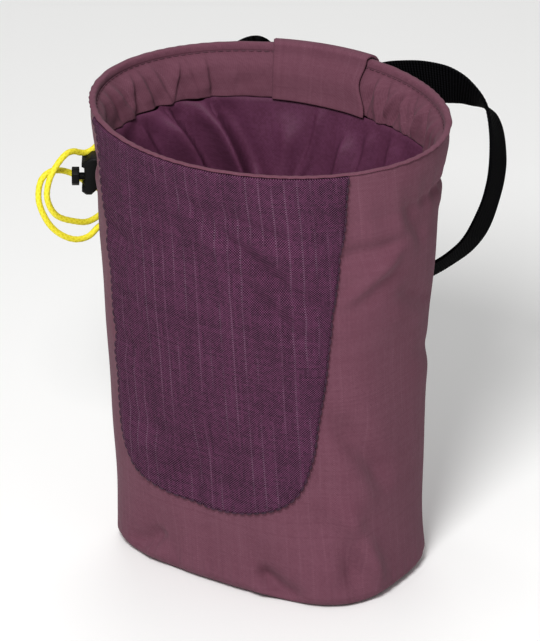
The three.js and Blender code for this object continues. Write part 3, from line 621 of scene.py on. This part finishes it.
def makeDrawCord():
    route, places = smoothRoute(cordPoints, drawCord["ringMm"])
    along = unit(np.gradient(route, axis=0))
    side = np.cross(along[0], (0, 0, 1))
    sides = []
    for direction in along:
        side = unit(side - direction * np.dot(side, direction))
        sides.append(side)
    sides = np.array(sides)
    over = np.cross(along, sides)
    count = drawCord["sides"]
    angles = np.linspace(0, 2 * np.pi, count + 1)
    around = angles[:-1]
    strands = drawCord["strands"] * around[None]
    lengthwise = 2 * np.pi * places[:, None] / drawCord["plaitMm"]
    plait = np.maximum(np.sin(strands + lengthwise), np.sin(-strands + lengthwise))
    radius = drawCord["diameter"] / 2 + drawCord["reliefMm"] * (plait - 0.6)
    ring = sides[:, None] * np.cos(around)[None, :, None] + over[:, None] * np.sin(around)[None, :, None]
    points = route[:, None] + radius[..., None] * ring
    faces = gridFaces(len(route), count, False, True).tolist() + endCaps(len(route), count)
    uvs = gridUvs(angles[None] / (2 * np.pi), places[:, None])[:, ::-1]
    uvs = np.vstack([uvs, np.zeros((2 * count, 2))])
    piece = makePiece("drawCord", points, faces, yellowCord, uvs)
    return piece, route, float(runLength(route)[-1])


cordPiece, cordRoute, cordLength = makeDrawCord()
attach(cordPiece, "bag")
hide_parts("draw_cord")
print("draw cord made,", round(cordLength), "mm long")


def evaluatedMesh(piece):
    bpy.context.view_layer.update()
    return bpy.data.meshes.new_from_object(piece.evaluated_get(bpy.context.evaluated_depsgraph_get()))


# Hard pieces: their solids with the edges rounded off as the mould leaves them
mould = {"lockEdge": 0.5, "buttonEdge": 0.6, "buckleEdge": 0.6, "weldMm": 0.002, "bevelFrom": 35,
         "sharpFrom": 40}


def roundedCopy(node, name, edgeMm, material):
    work = bmesh.new()
    work.from_mesh(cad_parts[node].data)
    bmesh.ops.remove_doubles(work, verts=work.verts, dist=mould["weldMm"] * mm)
    bmesh.ops.dissolve_limit(work, angle_limit=math.radians(1), verts=work.verts, edges=work.edges)
    mesh = bpy.data.meshes.new(name)
    work.to_mesh(mesh)
    work.free()
    mesh.materials.clear()
    mesh.materials.append(material)
    piece = addObject(name, mesh)
    bevel = piece.modifiers.new("mouldedEdge", "BEVEL")
    bevel.width = edgeMm * mm
    bevel.segments = 2
    bevel.limit_method = "ANGLE"
    bevel.angle_limit = math.radians(mould["bevelFrom"])
    rounded = evaluatedMesh(piece)
    piece.modifiers.clear()
    piece.data = rounded
    rounded.name = name
    rounded.shade_smooth()
    rounded.set_sharp_from_angle(angle=math.radians(mould["sharpFrom"]))
    return piece


lockPiece = roundedCopy("cord_lock_body", "cordLockBody", mould["lockEdge"], blackPlastic)
buttonPiece = roundedCopy("cord_lock_button", "cordLockButton", mould["buttonEdge"], blackPlastic)
bucklePiece = roundedCopy("belt_buckle", "beltBuckle", mould["buckleEdge"], blackPlastic)
hardPieces = (
    (lockPiece, "cord_lock_body", "bag"), (buttonPiece, "cord_lock_button", "lock_button"),
    (bucklePiece, "belt_buckle", "bag"),
)
for piece, node, body in hardPieces:
    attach(piece, body)
    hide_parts(node)
print("cord lock and buckle made")


# Outer cloth
def arcRows(centreZ, centreOut, radius, start, end, count):
    angles = np.radians(np.linspace(start, end, count))
    return [profileRow(centreZ - radius * math.sin(a), centreOut + radius * math.cos(a)) for a in angles]


def makeShell():
    corner = bag["cornerRadius"]
    wall = bag["shellWall"]
    top = bag["clothTop"]
    rows = arcRows(corner, -corner, corner, 90, 0, 10)
    rows += [profileRow(z, 0.0) for z in np.linspace(corner + 1, top - 0.4, 150)]
    rows += [profileRow(top, -0.3), profileRow(top, 0.3 - wall)]
    rows += [profileRow(z, -wall) for z in np.linspace(top - 0.4, corner, 40)]
    rows += arcRows(corner, -corner, corner - wall, 0, 90, 6)[1:]
    return ringPiece("bagBody", rows, bag["shellSteps"], mauveRipstop)


def makeBase():
    edge = -bag["cornerRadius"] - bag["gap"]
    wall = bag["baseWall"]
    rows = [profileRow(0.0, edge - 0.5, 0.0, share) for share in np.linspace(0.04, 0.97, 24)]
    rows += [profileRow(0.0, edge - 0.4, 0.0), profileRow(0.3, edge, 0.0)]
    rows += [profileRow(wall - 0.3, edge, 0.0), profileRow(wall, edge - 0.4, 0.0)]
    rows += [profileRow(wall, edge - 0.5, 0.0, share) for share in np.linspace(0.97, 0.04, 6)]
    return ringPiece("basePanel", rows, bag["baseSteps"], mauveRipstop, closed=False)


# Front panel, a turned-under edge sewn flat on the body
panel = {
    "rows": namedRows("up half shift", [
        (0.1875, 0.02, -0.02), (0.189, 0.07, -0.02), (0.197, 0.23, -0.05), (0.215, 0.4, -0.07),
        (0.24, 0.5, -0.05), (0.275, 0.565, -0.035), (0.33, 0.6, -0.02), (0.42, 0.62, 0),
        (0.54, 0.64, 0.022), (0.68, 0.665, 0.033), (0.8, 0.695, 0.035), (0.9, 0.73, 0.032),
        (1, 0.76, 0.03),
    ]),
    "low": 0.1875 * bag["height"], "columns": 96, "heightSteps": 150, "edgeRadius": 0.9,
    "stitchPitch": 3.1, "stitchLength": 2.6, "threadMm": 0.95, "stitchInset": 0.2, "stitchDeep": 0.3,
    "sewnWide": 6, "puffDeep": 0.18, "puffTop": 165,
}


def panelHeights(count, power):
    return panel["low"] + np.linspace(0, 1, count) ** power * (bag["clothTop"] - panel["low"])


def panelSides(z):
    return [smoothColumn(panel["rows"], column, z / bag["height"]) for column in ("half", "shift")]


def panelOutline(count):
    # left edge down, round the bottom and up the right edge, as x and z
    z = panelHeights(count, 1.8)
    half, shift = panelSides(z)
    left = np.stack([(shift - half) * bag["rimHalfWidth"], z], axis=1)
    right = np.stack([(shift + half) * bag["rimHalfWidth"], z], axis=1)
    return np.vstack([left[::-1], right])


def makePanel():
    heights = panelHeights(panel["heightSteps"], 1.7)
    half, shift = panelSides(heights[:, None])
    side = np.sin(np.linspace(-0.5 * np.pi, 0.5 * np.pi, panel["columns"]))[None, :]
    x = (shift + half * side) * bag["rimHalfWidth"]
    z = np.broadcast_to(heights[:, None], x.shape)
    # how far in from the sewn border, and how far along it
    border = panelOutline(420)
    gaps = np.linalg.norm(np.stack([x, z], axis=-1).reshape(-1, 1, 2) - border[None], axis=2)
    inset = gaps.min(axis=1).reshape(x.shape)
    place = runLength(border)[gaps.argmin(axis=1)].reshape(x.shape)
    dimples = 0.55 + 0.45 * np.cos(2 * np.pi * place / panel["stitchPitch"])
    sewn = bell((inset - panel["stitchInset"]) / 0.6) * dimples * (inset < panel["sewnWide"])
    puff = panel["puffDeep"] * bell((inset - 3.2) / 1.6) * (z < panel["puffTop"])
    edge = bag["panelWall"] * (0.1 + 0.9 * edgeRound(inset, panel["edgeRadius"]))
    outer = bag["gap"] + edge - panel["stitchDeep"] * sewn + puff
    angle = angleAt(x, z, -1)
    layers = [bagPoint(angle, z, bag["gap"]), bagPoint(angle, z, outer)]
    around, length = lengthRound(heights, 0 * heights, heights, 1 + 0 * heights)
    across = np.stack([np.interp(a, around, row) for a, row in zip(angle, length)])
    return sheetPiece("frontPanel", layers, across, z, panelRipstop)


# Rolled rim and the gathered band inside it. Tucks: at, lean in degrees a mm, widths to either side, deep.
# Profile, from the roll's lower edge over the rim and down inside: down, out, share of the tucks.
tuckSeed = np.random.default_rng(5)
gatherTucks = [
    (146.5, 0.1, 5, 0.8, 1.5), (152.5, 0.25, 2.6, 0.9, 1), (158, -0.3, 3.2, 0.9, 1.4),
    (164.5, 0.4, 3.4, 1, 1.6), (171, 0.3, 3, 1.1, 1.7), (177.5, -0.2, 3, 1, 1.5),
    (184, 0.5, 3.2, 1.2, 1.8), (191, 0.4, 3, 1, 1.6), (136, -0.2, 3.6, 1.2, 0.5),
    (127, 0.1, 4, 1.6, 0.4), (76, -0.1, 1.3, 1.3, -1.5), (71.5, 0.3, 2.2, 1.2, 1.8),
    (67.5, 0.3, 1.1, 1.1, -1.2), (64, -0.4, 2, 1.2, 1.8), (59.5, -0.3, 1.1, 1.1, -1.3),
    (56, 0.4, 2, 1, 1.7), (51, 0.3, 1.1, 1.2, -1.1), (46, -0.3, 2.2, 1.2, 1.7),
    (40, 0.4, 1.2, 1.2, -1),
]
gatherTucks += [(at + tuckSeed.uniform(-1.5, 1.5), tuckSeed.uniform(-0.4, 0.4), tuckSeed.uniform(2, 4), 1.1,
                 tuckSeed.uniform(0.4, 1.5)) for at in range(-162, 36, 7)]
collar = {"steps": 720, "leanFrom": 160, "crumpleDeep": 0.22, "puckers": 64, "puckerDeep": 0.12,
          "sewnFlat": 0.55}
collarProfile = [
    (0.62, -0.4, 0), (0.6, 0.3, 0), (0.35, 0.55, 0), (0.1, 0.3, 0), (0, -0.25, 0), (0, -0.8, 0),
    (0.07, -1.25, 0), (0.3, -1.6, 0), (0.8, -1.85, 0), (1.5, -1.95, 0), (2.2, -1.95, 0), (2.6, -1.7, 0),
    (3, -2.05, 0.05), (3.8, -2.6, 0.25), (5, -3.4, 0.55), (6.5, -4.2, 0.8), (8.5, -4.7, 1),
    (11, -4.8, 1), (13, -4.8, 1), (15, -4.85, 1), (17, -4.9, 1), (17.6, -4.85, 1), (18, -4.6, 1),
    (18, -4.3, 1), (17.6, -4.05, 1), (13, -4, 1), (8, -3.85, 0.9), (5, -2.5, 0.45), (2.6, -1.35, 0),
    (0.9, -1.25, 0),
]


def gathers(angle, row):
    # each gather is a sharp tuck with a soft flank; its line leans one way or the other
    degrees = np.degrees(angle)
    z = row[:, 0]
    down = bag["height"] - z
    depth = 0
    for at, lean, farWide, nearWide, deep in gatherTucks:
        side = turnBetween(degrees, at + lean * (z - collar["leanFrom"]))
        depth = depth + deep * bell(side / np.where(side > 0, farWide, nearWide))
    crumple = np.sin(31 * angle + 0.4 * z) * np.sin(17 * angle - 0.42 * z + 1.0)
    underSleeve = bell(turnBetween(degrees, sleeveMiddle) / 20)
    pucker = np.sin(collar["puckers"] * angle + 5 * np.sin(7 * angle)) * (1 - smoothStep(0.3, 1.6, down))
    sewn = 1 - collar["sewnFlat"] * smoothStep(13, bag["collarDepth"], down)
    tucked = row[:, 4] * (sewn * depth + collar["crumpleDeep"] * crumple) * (1 - 0.9 * underSleeve)
    return collar["puckerDeep"] * pucker - tucked


def makeCollar():
    rows = []
    for here, after in zip(collarProfile, collarProfile[1:] + collarProfile[:1]):
        parts = 3 if abs(here[0] - after[0]) > 1.4 else 2
        for k in range(parts):
            down, out, hang = (h + (a - h) * k / parts for h, a in zip(here, after))
            rows.append(profileRow(bag["height"] - down, out, hang=hang))
    return ringPiece("rimCollar", rows, collar["steps"], mauveRipstop, gathers)


# Lining: folds run down from the gathers. wide in degrees, deep in mm
lining = {
    "foldDepth": 4.2, "wall": 0.7, "steps": 400, "pleatBow": 2.5, "rippleDeep": 0.12,
    "folds": namedRows("at up toAt toUp wide deep", [
        (165, 0.87, 147, 0.6, 8, 1), (142, 0.85, 132, 0.55, 7, 0.75), (112, 0.86, 121, 0.62, 7, 0.6),
        (84, 0.84, 76, 0.5, 8, 0.7), (48, 0.85, 58, 0.45, 9, 0.8), (14, 0.84, 26, 0.42, 9, 0.9),
        (188, 0.82, 200, 0.4, 9, 0.9), (240, 0.82, 228, 0.42, 10, 0.7), (292, 0.82, 305, 0.42, 10, 0.7),
        (338, 0.82, 328, 0.42, 9, 0.8),
    ]),
    # columns: at, up, toAt, toUp, wide on the far side, wide on the near side, deep
    "pleats": [
        (168.5, 0.9, 143.5, 0.63, 5, 2, 6.8), (151, 0.9, 128, 0.62, 4.6, 3.2, 8.6),
        (178, 0.88, 163, 0.66, 5, 1.6, 2.4), (116, 0.86, 121, 0.66, 4, 5, 1.2),
        (100, 0.89, 112, 0.7, 0.7, 3, 1.4), (84, 0.85, 95, 0.68, 2, 5, 2.6),
        (71, 0.88, 82, 0.66, 2.4, 4, 2.2), (58, 0.88, 66, 0.68, 2.4, 4, 2),
        (40, 0.87, 52, 0.6, 2.6, 4, 2.4), (20, 0.87, 34, 0.6, 2.6, 4, 2.4),
        (196, 0.87, 184, 0.62, 4, 2.2, 2.4), (232, 0.87, 224, 0.6, 4, 3, 2),
        (262, 0.87, 268, 0.6, 4, 4, 1.4), (300, 0.87, 310, 0.6, 3, 4, 2),
        (334, 0.87, 346, 0.6, 3, 4, 2.2),
    ],
}


def foldOffset(angle, row):
    degrees = np.degrees(angle)
    up = row[:, 0] / bag["height"]
    depth = 0
    for fold in lining["folds"]:
        along = (fold["up"] - up) / (fold["up"] - fold["toUp"])
        ridge = fold["at"] + (fold["toAt"] - fold["at"]) * along
        fade = smoothStep(-0.1, 0.25, along) - smoothStep(0.7, 1.4, along)
        depth = depth + fold["deep"] * fade * bell(turnBetween(degrees, ridge) / fold["wide"])
    depth = depth * lining["foldDepth"]
    for at, high, toAt, low, farWide, nearWide, deep in lining["pleats"]:
        along = (high - up) / (high - low)
        ridge = at + (toAt - at) * along - lining["pleatBow"] * np.sin(np.pi * np.clip(along, 0, 1))
        fade = smoothStep(-0.05, 0.2, along) - smoothStep(0.6, 1.3, along)
        side = turnBetween(degrees, ridge)
        shape = bell(side / np.where(side > 0, farWide, nearWide))
        valley = bell((side + 2.4 * nearWide) / (1.3 * nearWide))
        depth = depth + deep * fade * (shape - 0.25 * valley)
    ripples = np.sin(23 * angle + 0.21 * row[:, 0]) * np.sin(9 * angle - 0.13 * row[:, 0])
    return -depth - lining["rippleDeep"] * ripples


def makeLining():
    outside = bag["facingOut"]
    wall = lining["wall"]
    inside = outside - wall
    corner = bag["cornerRadius"]
    floor = bag["baseWall"] + bag["gap"]
    top = bag["facingBottom"] - bag["gap"]
    rows = [profileRow(floor, outside - corner, floor, 0.03), profileRow(floor, outside - corner)]
    rows += [profileRow(z, outside) for z in [floor + corner, *np.linspace(floor + 12, top - 0.3, 24)]]
    rows += [profileRow(top, outside - 0.2), profileRow(top, inside + 0.2)]
    rows += [profileRow(z, inside) for z in np.linspace(top - 0.3, floor + corner + 2, 104)]
    rows += arcRows(floor + corner, inside - corner + wall, corner - wall, 0, 90, 8)[:-1]
    middle = inside - corner + wall
    rows += [profileRow(floor + wall, middle, shrink=share) for share in np.linspace(1, 0.03, 16)]
    return ringPiece("liningBag", rows, lining["steps"], liningTaffeta, foldOffset, closed=False)


# Belt, and its sleeve of cloth folded over the rim and round it
belt = {
    "width": 15, "thickness": 1.5, "drop": 91, "belowRim": 2, "behind": 1.064, "ribMm": 1.1, "ribDeep": 0.22,
    "sleeveWidth": 37, "sleeveCentre": -12, "sleeveWall": 1.2, "sleeveTab": 4.5, "sleeveStep": 0.45,
    "sleeveSpread": 6.5,
    "buckleCentre": -16, "buckleLength": 28,
    # columns: across, behind, down, turn
    "right": [
        (0.231, 1.053, 0.083, 0), (0.378, 1.06, 0.058, 1), (0.511, 1.066, 0.049, 6),
        (0.595, 1.075, 0.052, 17), (0.665, 1.084, 0.066, 28), (0.726, 1.089, 0.086, 40),
        (0.772, 1.093, 0.114, 52), (0.809, 1.093, 0.156, 65), (0.834, 1.093, 0.221, 74),
        (0.843, 1.093, 0.313, 80), (0.835, 1.093, 0.393, 84), (0.802, 1.093, 0.495, 88),
        (0.722, 1.093, 0.642, 96), (0.62, 1.093, 0.743, 103), (0.492, 1.093, 0.827, 106),
        (0.362, 1.086, 0.905, 104), (0.238, 1.075, 0.967, 97),
    ],
    "left": [
        (-0.72, 1.053, 0.974, 88), (-0.815, 1.027, 0.907, 87), (-0.877, 0.998, 0.802, 87),
        (-0.9, 0.973, 0.67, 87), (-0.897, 0.951, 0.527, 86), (-0.877, 0.929, 0.396, 83),
        (-0.846, 0.911, 0.28, 74), (-0.805, 0.9, 0.198, 60), (-0.736, 0.906, 0.146, 38),
        (-0.648, 0.918, 0.103, 16), (-0.568, 0.908, 0.079, 2),
    ],
}
beltStand = bag["rollOut"] + 3 * bag["gap"] + belt["thickness"] / 2
beltLine = bag["height"] - belt["belowRim"] - belt["width"] / 2
sleeveLeft = float(angleAt(belt["sleeveCentre"] - belt["sleeveWidth"] / 2, bag["height"], 1))
sleeveRight = float(angleAt(belt["sleeveCentre"] + belt["sleeveWidth"] / 2, bag["height"], 1))


def makeSleeve():
    top = bag["height"]
    gap = bag["gap"]
    wall = belt["sleeveWall"]
    inside = bag["facingIn"] - 2 * gap - wall / 2
    slim = bag["slimIn"] - gap - wall / 2
    behind = beltStand + belt["thickness"] / 2 + gap + wall / 2
    beltLow = beltLine - belt["width"] / 2
    beltHigh = beltLine + belt["width"] / 2
    tab = beltLow - gap - (behind - wall / 2 - gap)
    onBody = gap + wall / 2
    channelFull = top - bag["channelFull"]
    channelTop = top - bag["channelTop"]
    # middle of the cloth: height, out, height of the section it follows
    key = [
        (bag["facingBottom"] + 0.2, inside - 0.1, bag["facingBottom"]), (top - 15, inside, top - 15),
        (channelFull, inside, channelFull), (top - 5, inside + 1.3, top - 5),
        (channelTop, slim - bag["gatherDepth"] / 2, channelTop), (top - 0.6, slim - 0.1, top),
        (top + gap + 0.35, slim + 0.35, top), (top + gap + 0.62, slim + 1.2, top),
        (top + gap + 0.6, bag["rollOut"] - 0.6, top), (top - 0.2, bag["rollOut"] + 1.6, top),
        (beltHigh + 0.9, behind - 0.7, top), (beltHigh - 0.6, behind - 0.05, top),
        (beltLine + 3, behind + 0.15, top), (beltLine - 3, behind + 0.15, top), (beltLow + 0.6, behind, top),
        (beltLow - 1.0, behind - 0.9, top), (tab + 0.6, 1.6, tab + 1.5),
        (tab - 0.6, onBody + 0.05, tab - 0.6), (tab - 2.5, onBody, tab - 2.5),
        (tab - belt["sleeveTab"] + 0.3, onBody, tab - belt["sleeveTab"]),
    ]
    step = belt["sleeveStep"]
    route, _ = smoothRoute(key, step)
    along = unit(np.gradient(route[:, :2], axis=0))
    normal = np.stack([-along[:, 1], along[:, 0]], axis=1)
    share = np.linspace(0, 1, 54)
    # the inner end spreads a little at its right side
    count = np.arange(len(route))
    inner = 1 - smoothStep(0, 40, count)
    spread = math.radians(belt["sleeveSpread"]) * inner[:, None] * share[None, :] ** 3
    angles = sleeveLeft + (sleeveRight - sleeveLeft) * share[None, :] - spread
    sides = 0.35 + 0.65 * edgeRound(np.minimum(share, 1 - share) * belt["sleeveWidth"], 0.8)
    ends = 0.35 + 0.65 * edgeRound(np.minimum(count, count[::-1]) * step, 0.8)
    layers = []
    for sign in (1, -1):
        offset = sign * (wall / 2 * sides)[None, :] * ends[:, None]
        z = route[:, None, 0] + normal[:, None, 0] * offset
        out = route[:, None, 1] + normal[:, None, 1] * offset
        layers.append(bagPoint(angles, z, out, np.broadcast_to(route[:, None, 2], z.shape)))
    us, vs = np.broadcast_arrays(share[None] * belt["sleeveWidth"], (count * step)[:, None])
    return sheetPiece("beltSleeve", layers, us, vs, mauveRipstop)


def beltRows():
    rows = []
    for share in (-0.07, 0.25, 0.5, 0.75, 1.03):
        angle = sleeveLeft + (sleeveRight - sleeveLeft) * share
        place = bagPoint(angle, beltLine, beltStand, bag["height"], detail=0.0)
        rows.append((*place, 0.0))
    width, depth, top = bag["rimHalfWidth"], bag["rimHalfDepth"], bag["height"]
    rows += [(a * width, b * depth, top - d * belt["drop"], turn) for a, b, d, turn in belt["right"]]
    half = belt["buckleLength"] / 2 + 1
    for x in (half + 9, half, 0, -half, -half - 9):
        rows.append((belt["buckleCentre"] + x, belt["behind"] * depth, top - belt["drop"], 90.0))
    rows += [(a * width, b * depth, top - d * belt["drop"], turn) for a, b, d, turn in belt["left"]]
    return rows


def makeBelt():
    # the twist rides along as a fourth column, scaled so that it hardly counts as length
    rows = np.array(beltRows(), float) * (1, 1, 1, 0.001)
    route, places = smoothRoute(rows, belt["ribMm"] / 5, closed=True, power=0.001)
    twist = np.radians(route[:-1, 3] * 1000)
    middle = route[:-1, :3]
    along = unit(np.roll(middle, -1, axis=0) - np.roll(middle, 1, axis=0))
    back = unit(np.array([0, 1, 0]) - along * along[:, 1:2])
    upright = np.cross(along, back)
    width = upright * np.cos(twist)[:, None] - back * np.sin(twist)[:, None]
    normal = np.cross(along, width)
    # rounded selvedges, and ribs across both faces
    half = belt["width"] / 2
    ribPitch = places[-1] / round(places[-1] / belt["ribMm"])
    ribs = 0.5 + 0.5 * np.cos(2 * np.pi * places[:-1] / ribPitch)
    across = np.array([-1, -0.985, -0.93, -0.86, -0.6, -0.2, 0.2, 0.6, 0.86, 0.93, 0.985, 1])
    thick = np.array([0.25, 0.7, 0.95, 0.86, 1, 1, 1, 1, 0.86, 0.95, 0.7, 0.25])
    outline = np.concatenate([np.stack([across, thick], 1), np.stack([across, -thick], 1)[::-1]])
    ribShare = np.where(np.abs(outline[:, 0]) < 0.9, 1.0, 0.45)
    height = np.abs(outline[:, 1]) * belt["thickness"] / 2
    groove = belt["ribDeep"] * (1 - ribs)[:, None] * ribShare[None]
    lift = np.sign(outline[:, 1])[None] * np.maximum(height[None] - groove, 0.1)
    points = (middle[:, None] + width[:, None] * (outline[:, 0] * half)[None, :, None]
              + normal[:, None] * lift[..., None])
    faces = gridFaces(len(middle), len(outline), True, True).tolist()
    vs = np.append(outline[:, 0], outline[0, 0]) * half
    uvs = gridUvs(vs[None], places[:, None])[:, ::-1]
    return makePiece("waistBelt", points, faces, blackWebbing, uvs)


softPieces = (
    (makeShell, "shell", "body_cloth"), (makeBase, "base_panel", "body_cloth"),
    (makePanel, "front_panel", "panel_cloth"), (makeCollar, "rim_facing", "body_cloth"),
    (makeLining, "lining", "lining_cloth"), (makeSleeve, "belt_sleeve", "body_cloth"),
    (makeBelt, "belt", "webbing"),
)
for maker, node, slotName in softPieces:
    piece = maker()
    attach(piece, "bag")
    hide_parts(node)
    print(piece.name, "made,", len(piece.data.polygons), "faces")


# Stitches: a thread laid along each seam by geometry nodes
def stitchTree():
    tree = bpy.data.node_groups.new("stitchRow", "GeometryNodeTree")
    sockets = (("Seam", "NodeSocketGeometry"), ("Pitch", "NodeSocketFloat"),
               ("Stitch Length", "NodeSocketFloat"), ("Thread Width", "NodeSocketFloat"),
               ("Thread", "NodeSocketMaterial"))
    for label, kind in sockets:
        tree.interface.new_socket(label, in_out="INPUT", socket_type=kind)
    tree.interface.new_socket("Stitches", in_out="OUTPUT", socket_type="NodeSocketGeometry")
    given = addNode(tree, "NodeGroupInput")
    curve = addNode(tree, "GeometryNodeMeshToCurve", {"Mesh": given.outputs["Seam"]})
    spaced = addNode(tree, "GeometryNodeResampleCurve", {
        "Curve": curve.outputs[0], "Length": given.outputs["Pitch"]}, mode="LENGTH")
    tangent = addNode(tree, "GeometryNodeInputTangent")
    turned = addNode(tree, "FunctionNodeAlignRotationToVector", {"Vector": tangent.outputs[0]}, axis="X")
    thread = addNode(tree, "GeometryNodeMeshUVSphere", {"Segments": 8, "Rings": 5, "Radius": 0.5})
    width = given.outputs["Thread Width"]
    size = addNode(tree, "ShaderNodeCombineXYZ", {0: given.outputs["Stitch Length"], 1: width, 2: width})
    placed = addNode(tree, "GeometryNodeInstanceOnPoints", {
        "Points": spaced.outputs[0], "Instance": thread.outputs[0], "Rotation": turned.outputs[0],
        "Scale": size.outputs[0]})
    real = addNode(tree, "GeometryNodeRealizeInstances", {0: placed.outputs[0]})
    dyed = addNode(tree, "GeometryNodeSetMaterial", {
        "Geometry": real.outputs[0], "Material": given.outputs["Thread"]})
    addNode(tree, "NodeGroupOutput", {0: dyed.outputs[0]})
    return tree


stitchRow = stitchTree()


def sewSeam(name, lines, pitch, length, width, thread):
    points = np.vstack(lines)
    edges = []
    start = 0
    for line in lines:
        edges += [(start + i, start + i + 1) for i in range(len(line) - 1)]
        start += len(line)
    mesh = bpy.data.meshes.new(name + "Line")
    mesh.from_pydata((points * mm).tolist(), edges, [])
    seam = addObject(name + "Line", mesh)
    modifier = seam.modifiers.new("stitchRow", "NODES")
    modifier.node_group = stitchRow
    values = {"Pitch": pitch * mm, "Stitch Length": length * mm, "Thread Width": width * mm, "Thread": thread}
    for item in stitchRow.interface.items_tree:
        if item.name in values and item.in_out == "INPUT":
            modifier[item.identifier] = values[item.name]
    sewn = evaluatedMesh(seam)
    bpy.data.objects.remove(seam)
    sewn.name = name
    sewn.shade_smooth()
    piece = addObject(name, sewn)
    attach(piece, "bag")
    print(name, "sewn,", len(sewn.polygons), "faces")


def panelSeam():
    border = panelOutline(500)
    run = unit(np.gradient(border, axis=0))
    inward = np.stack([-run[:, 1], run[:, 0]], axis=1)
    line = border + inward * panel["stitchInset"]
    line = line[line[:, 1] < bag["clothTop"] - 1.5]
    out = bag["gap"] + 0.7 * bag["panelWall"]
    return bagPoint(angleAt(line[:, 0], line[:, 1], -1), line[:, 1], out)


def ringSeam(z, out, start, end):
    angles = np.radians(np.linspace(start, end, 700))
    return bagPoint(angles, z, out)


sewSeam("panelStitches", [panelSeam()], panel["stitchPitch"], panel["stitchLength"], panel["threadMm"],
        panelThread)
rimStitch = {"pitch": 2.7, "length": 2.2, "thread": 0.4, "below": 2.6, "out": 0.1,
             "spans": ((-236, 80), (80, 124))}
rimLines = [ringSeam(bag["height"] - rimStitch["below"], bag["slimIn"] + rimStitch["out"], *span)
            for span in rimStitch["spans"]]
sewSeam("rimStitches", rimLines, rimStitch["pitch"], rimStitch["length"], rimStitch["thread"],
        clothThread)

bpy.context.view_layer.update()
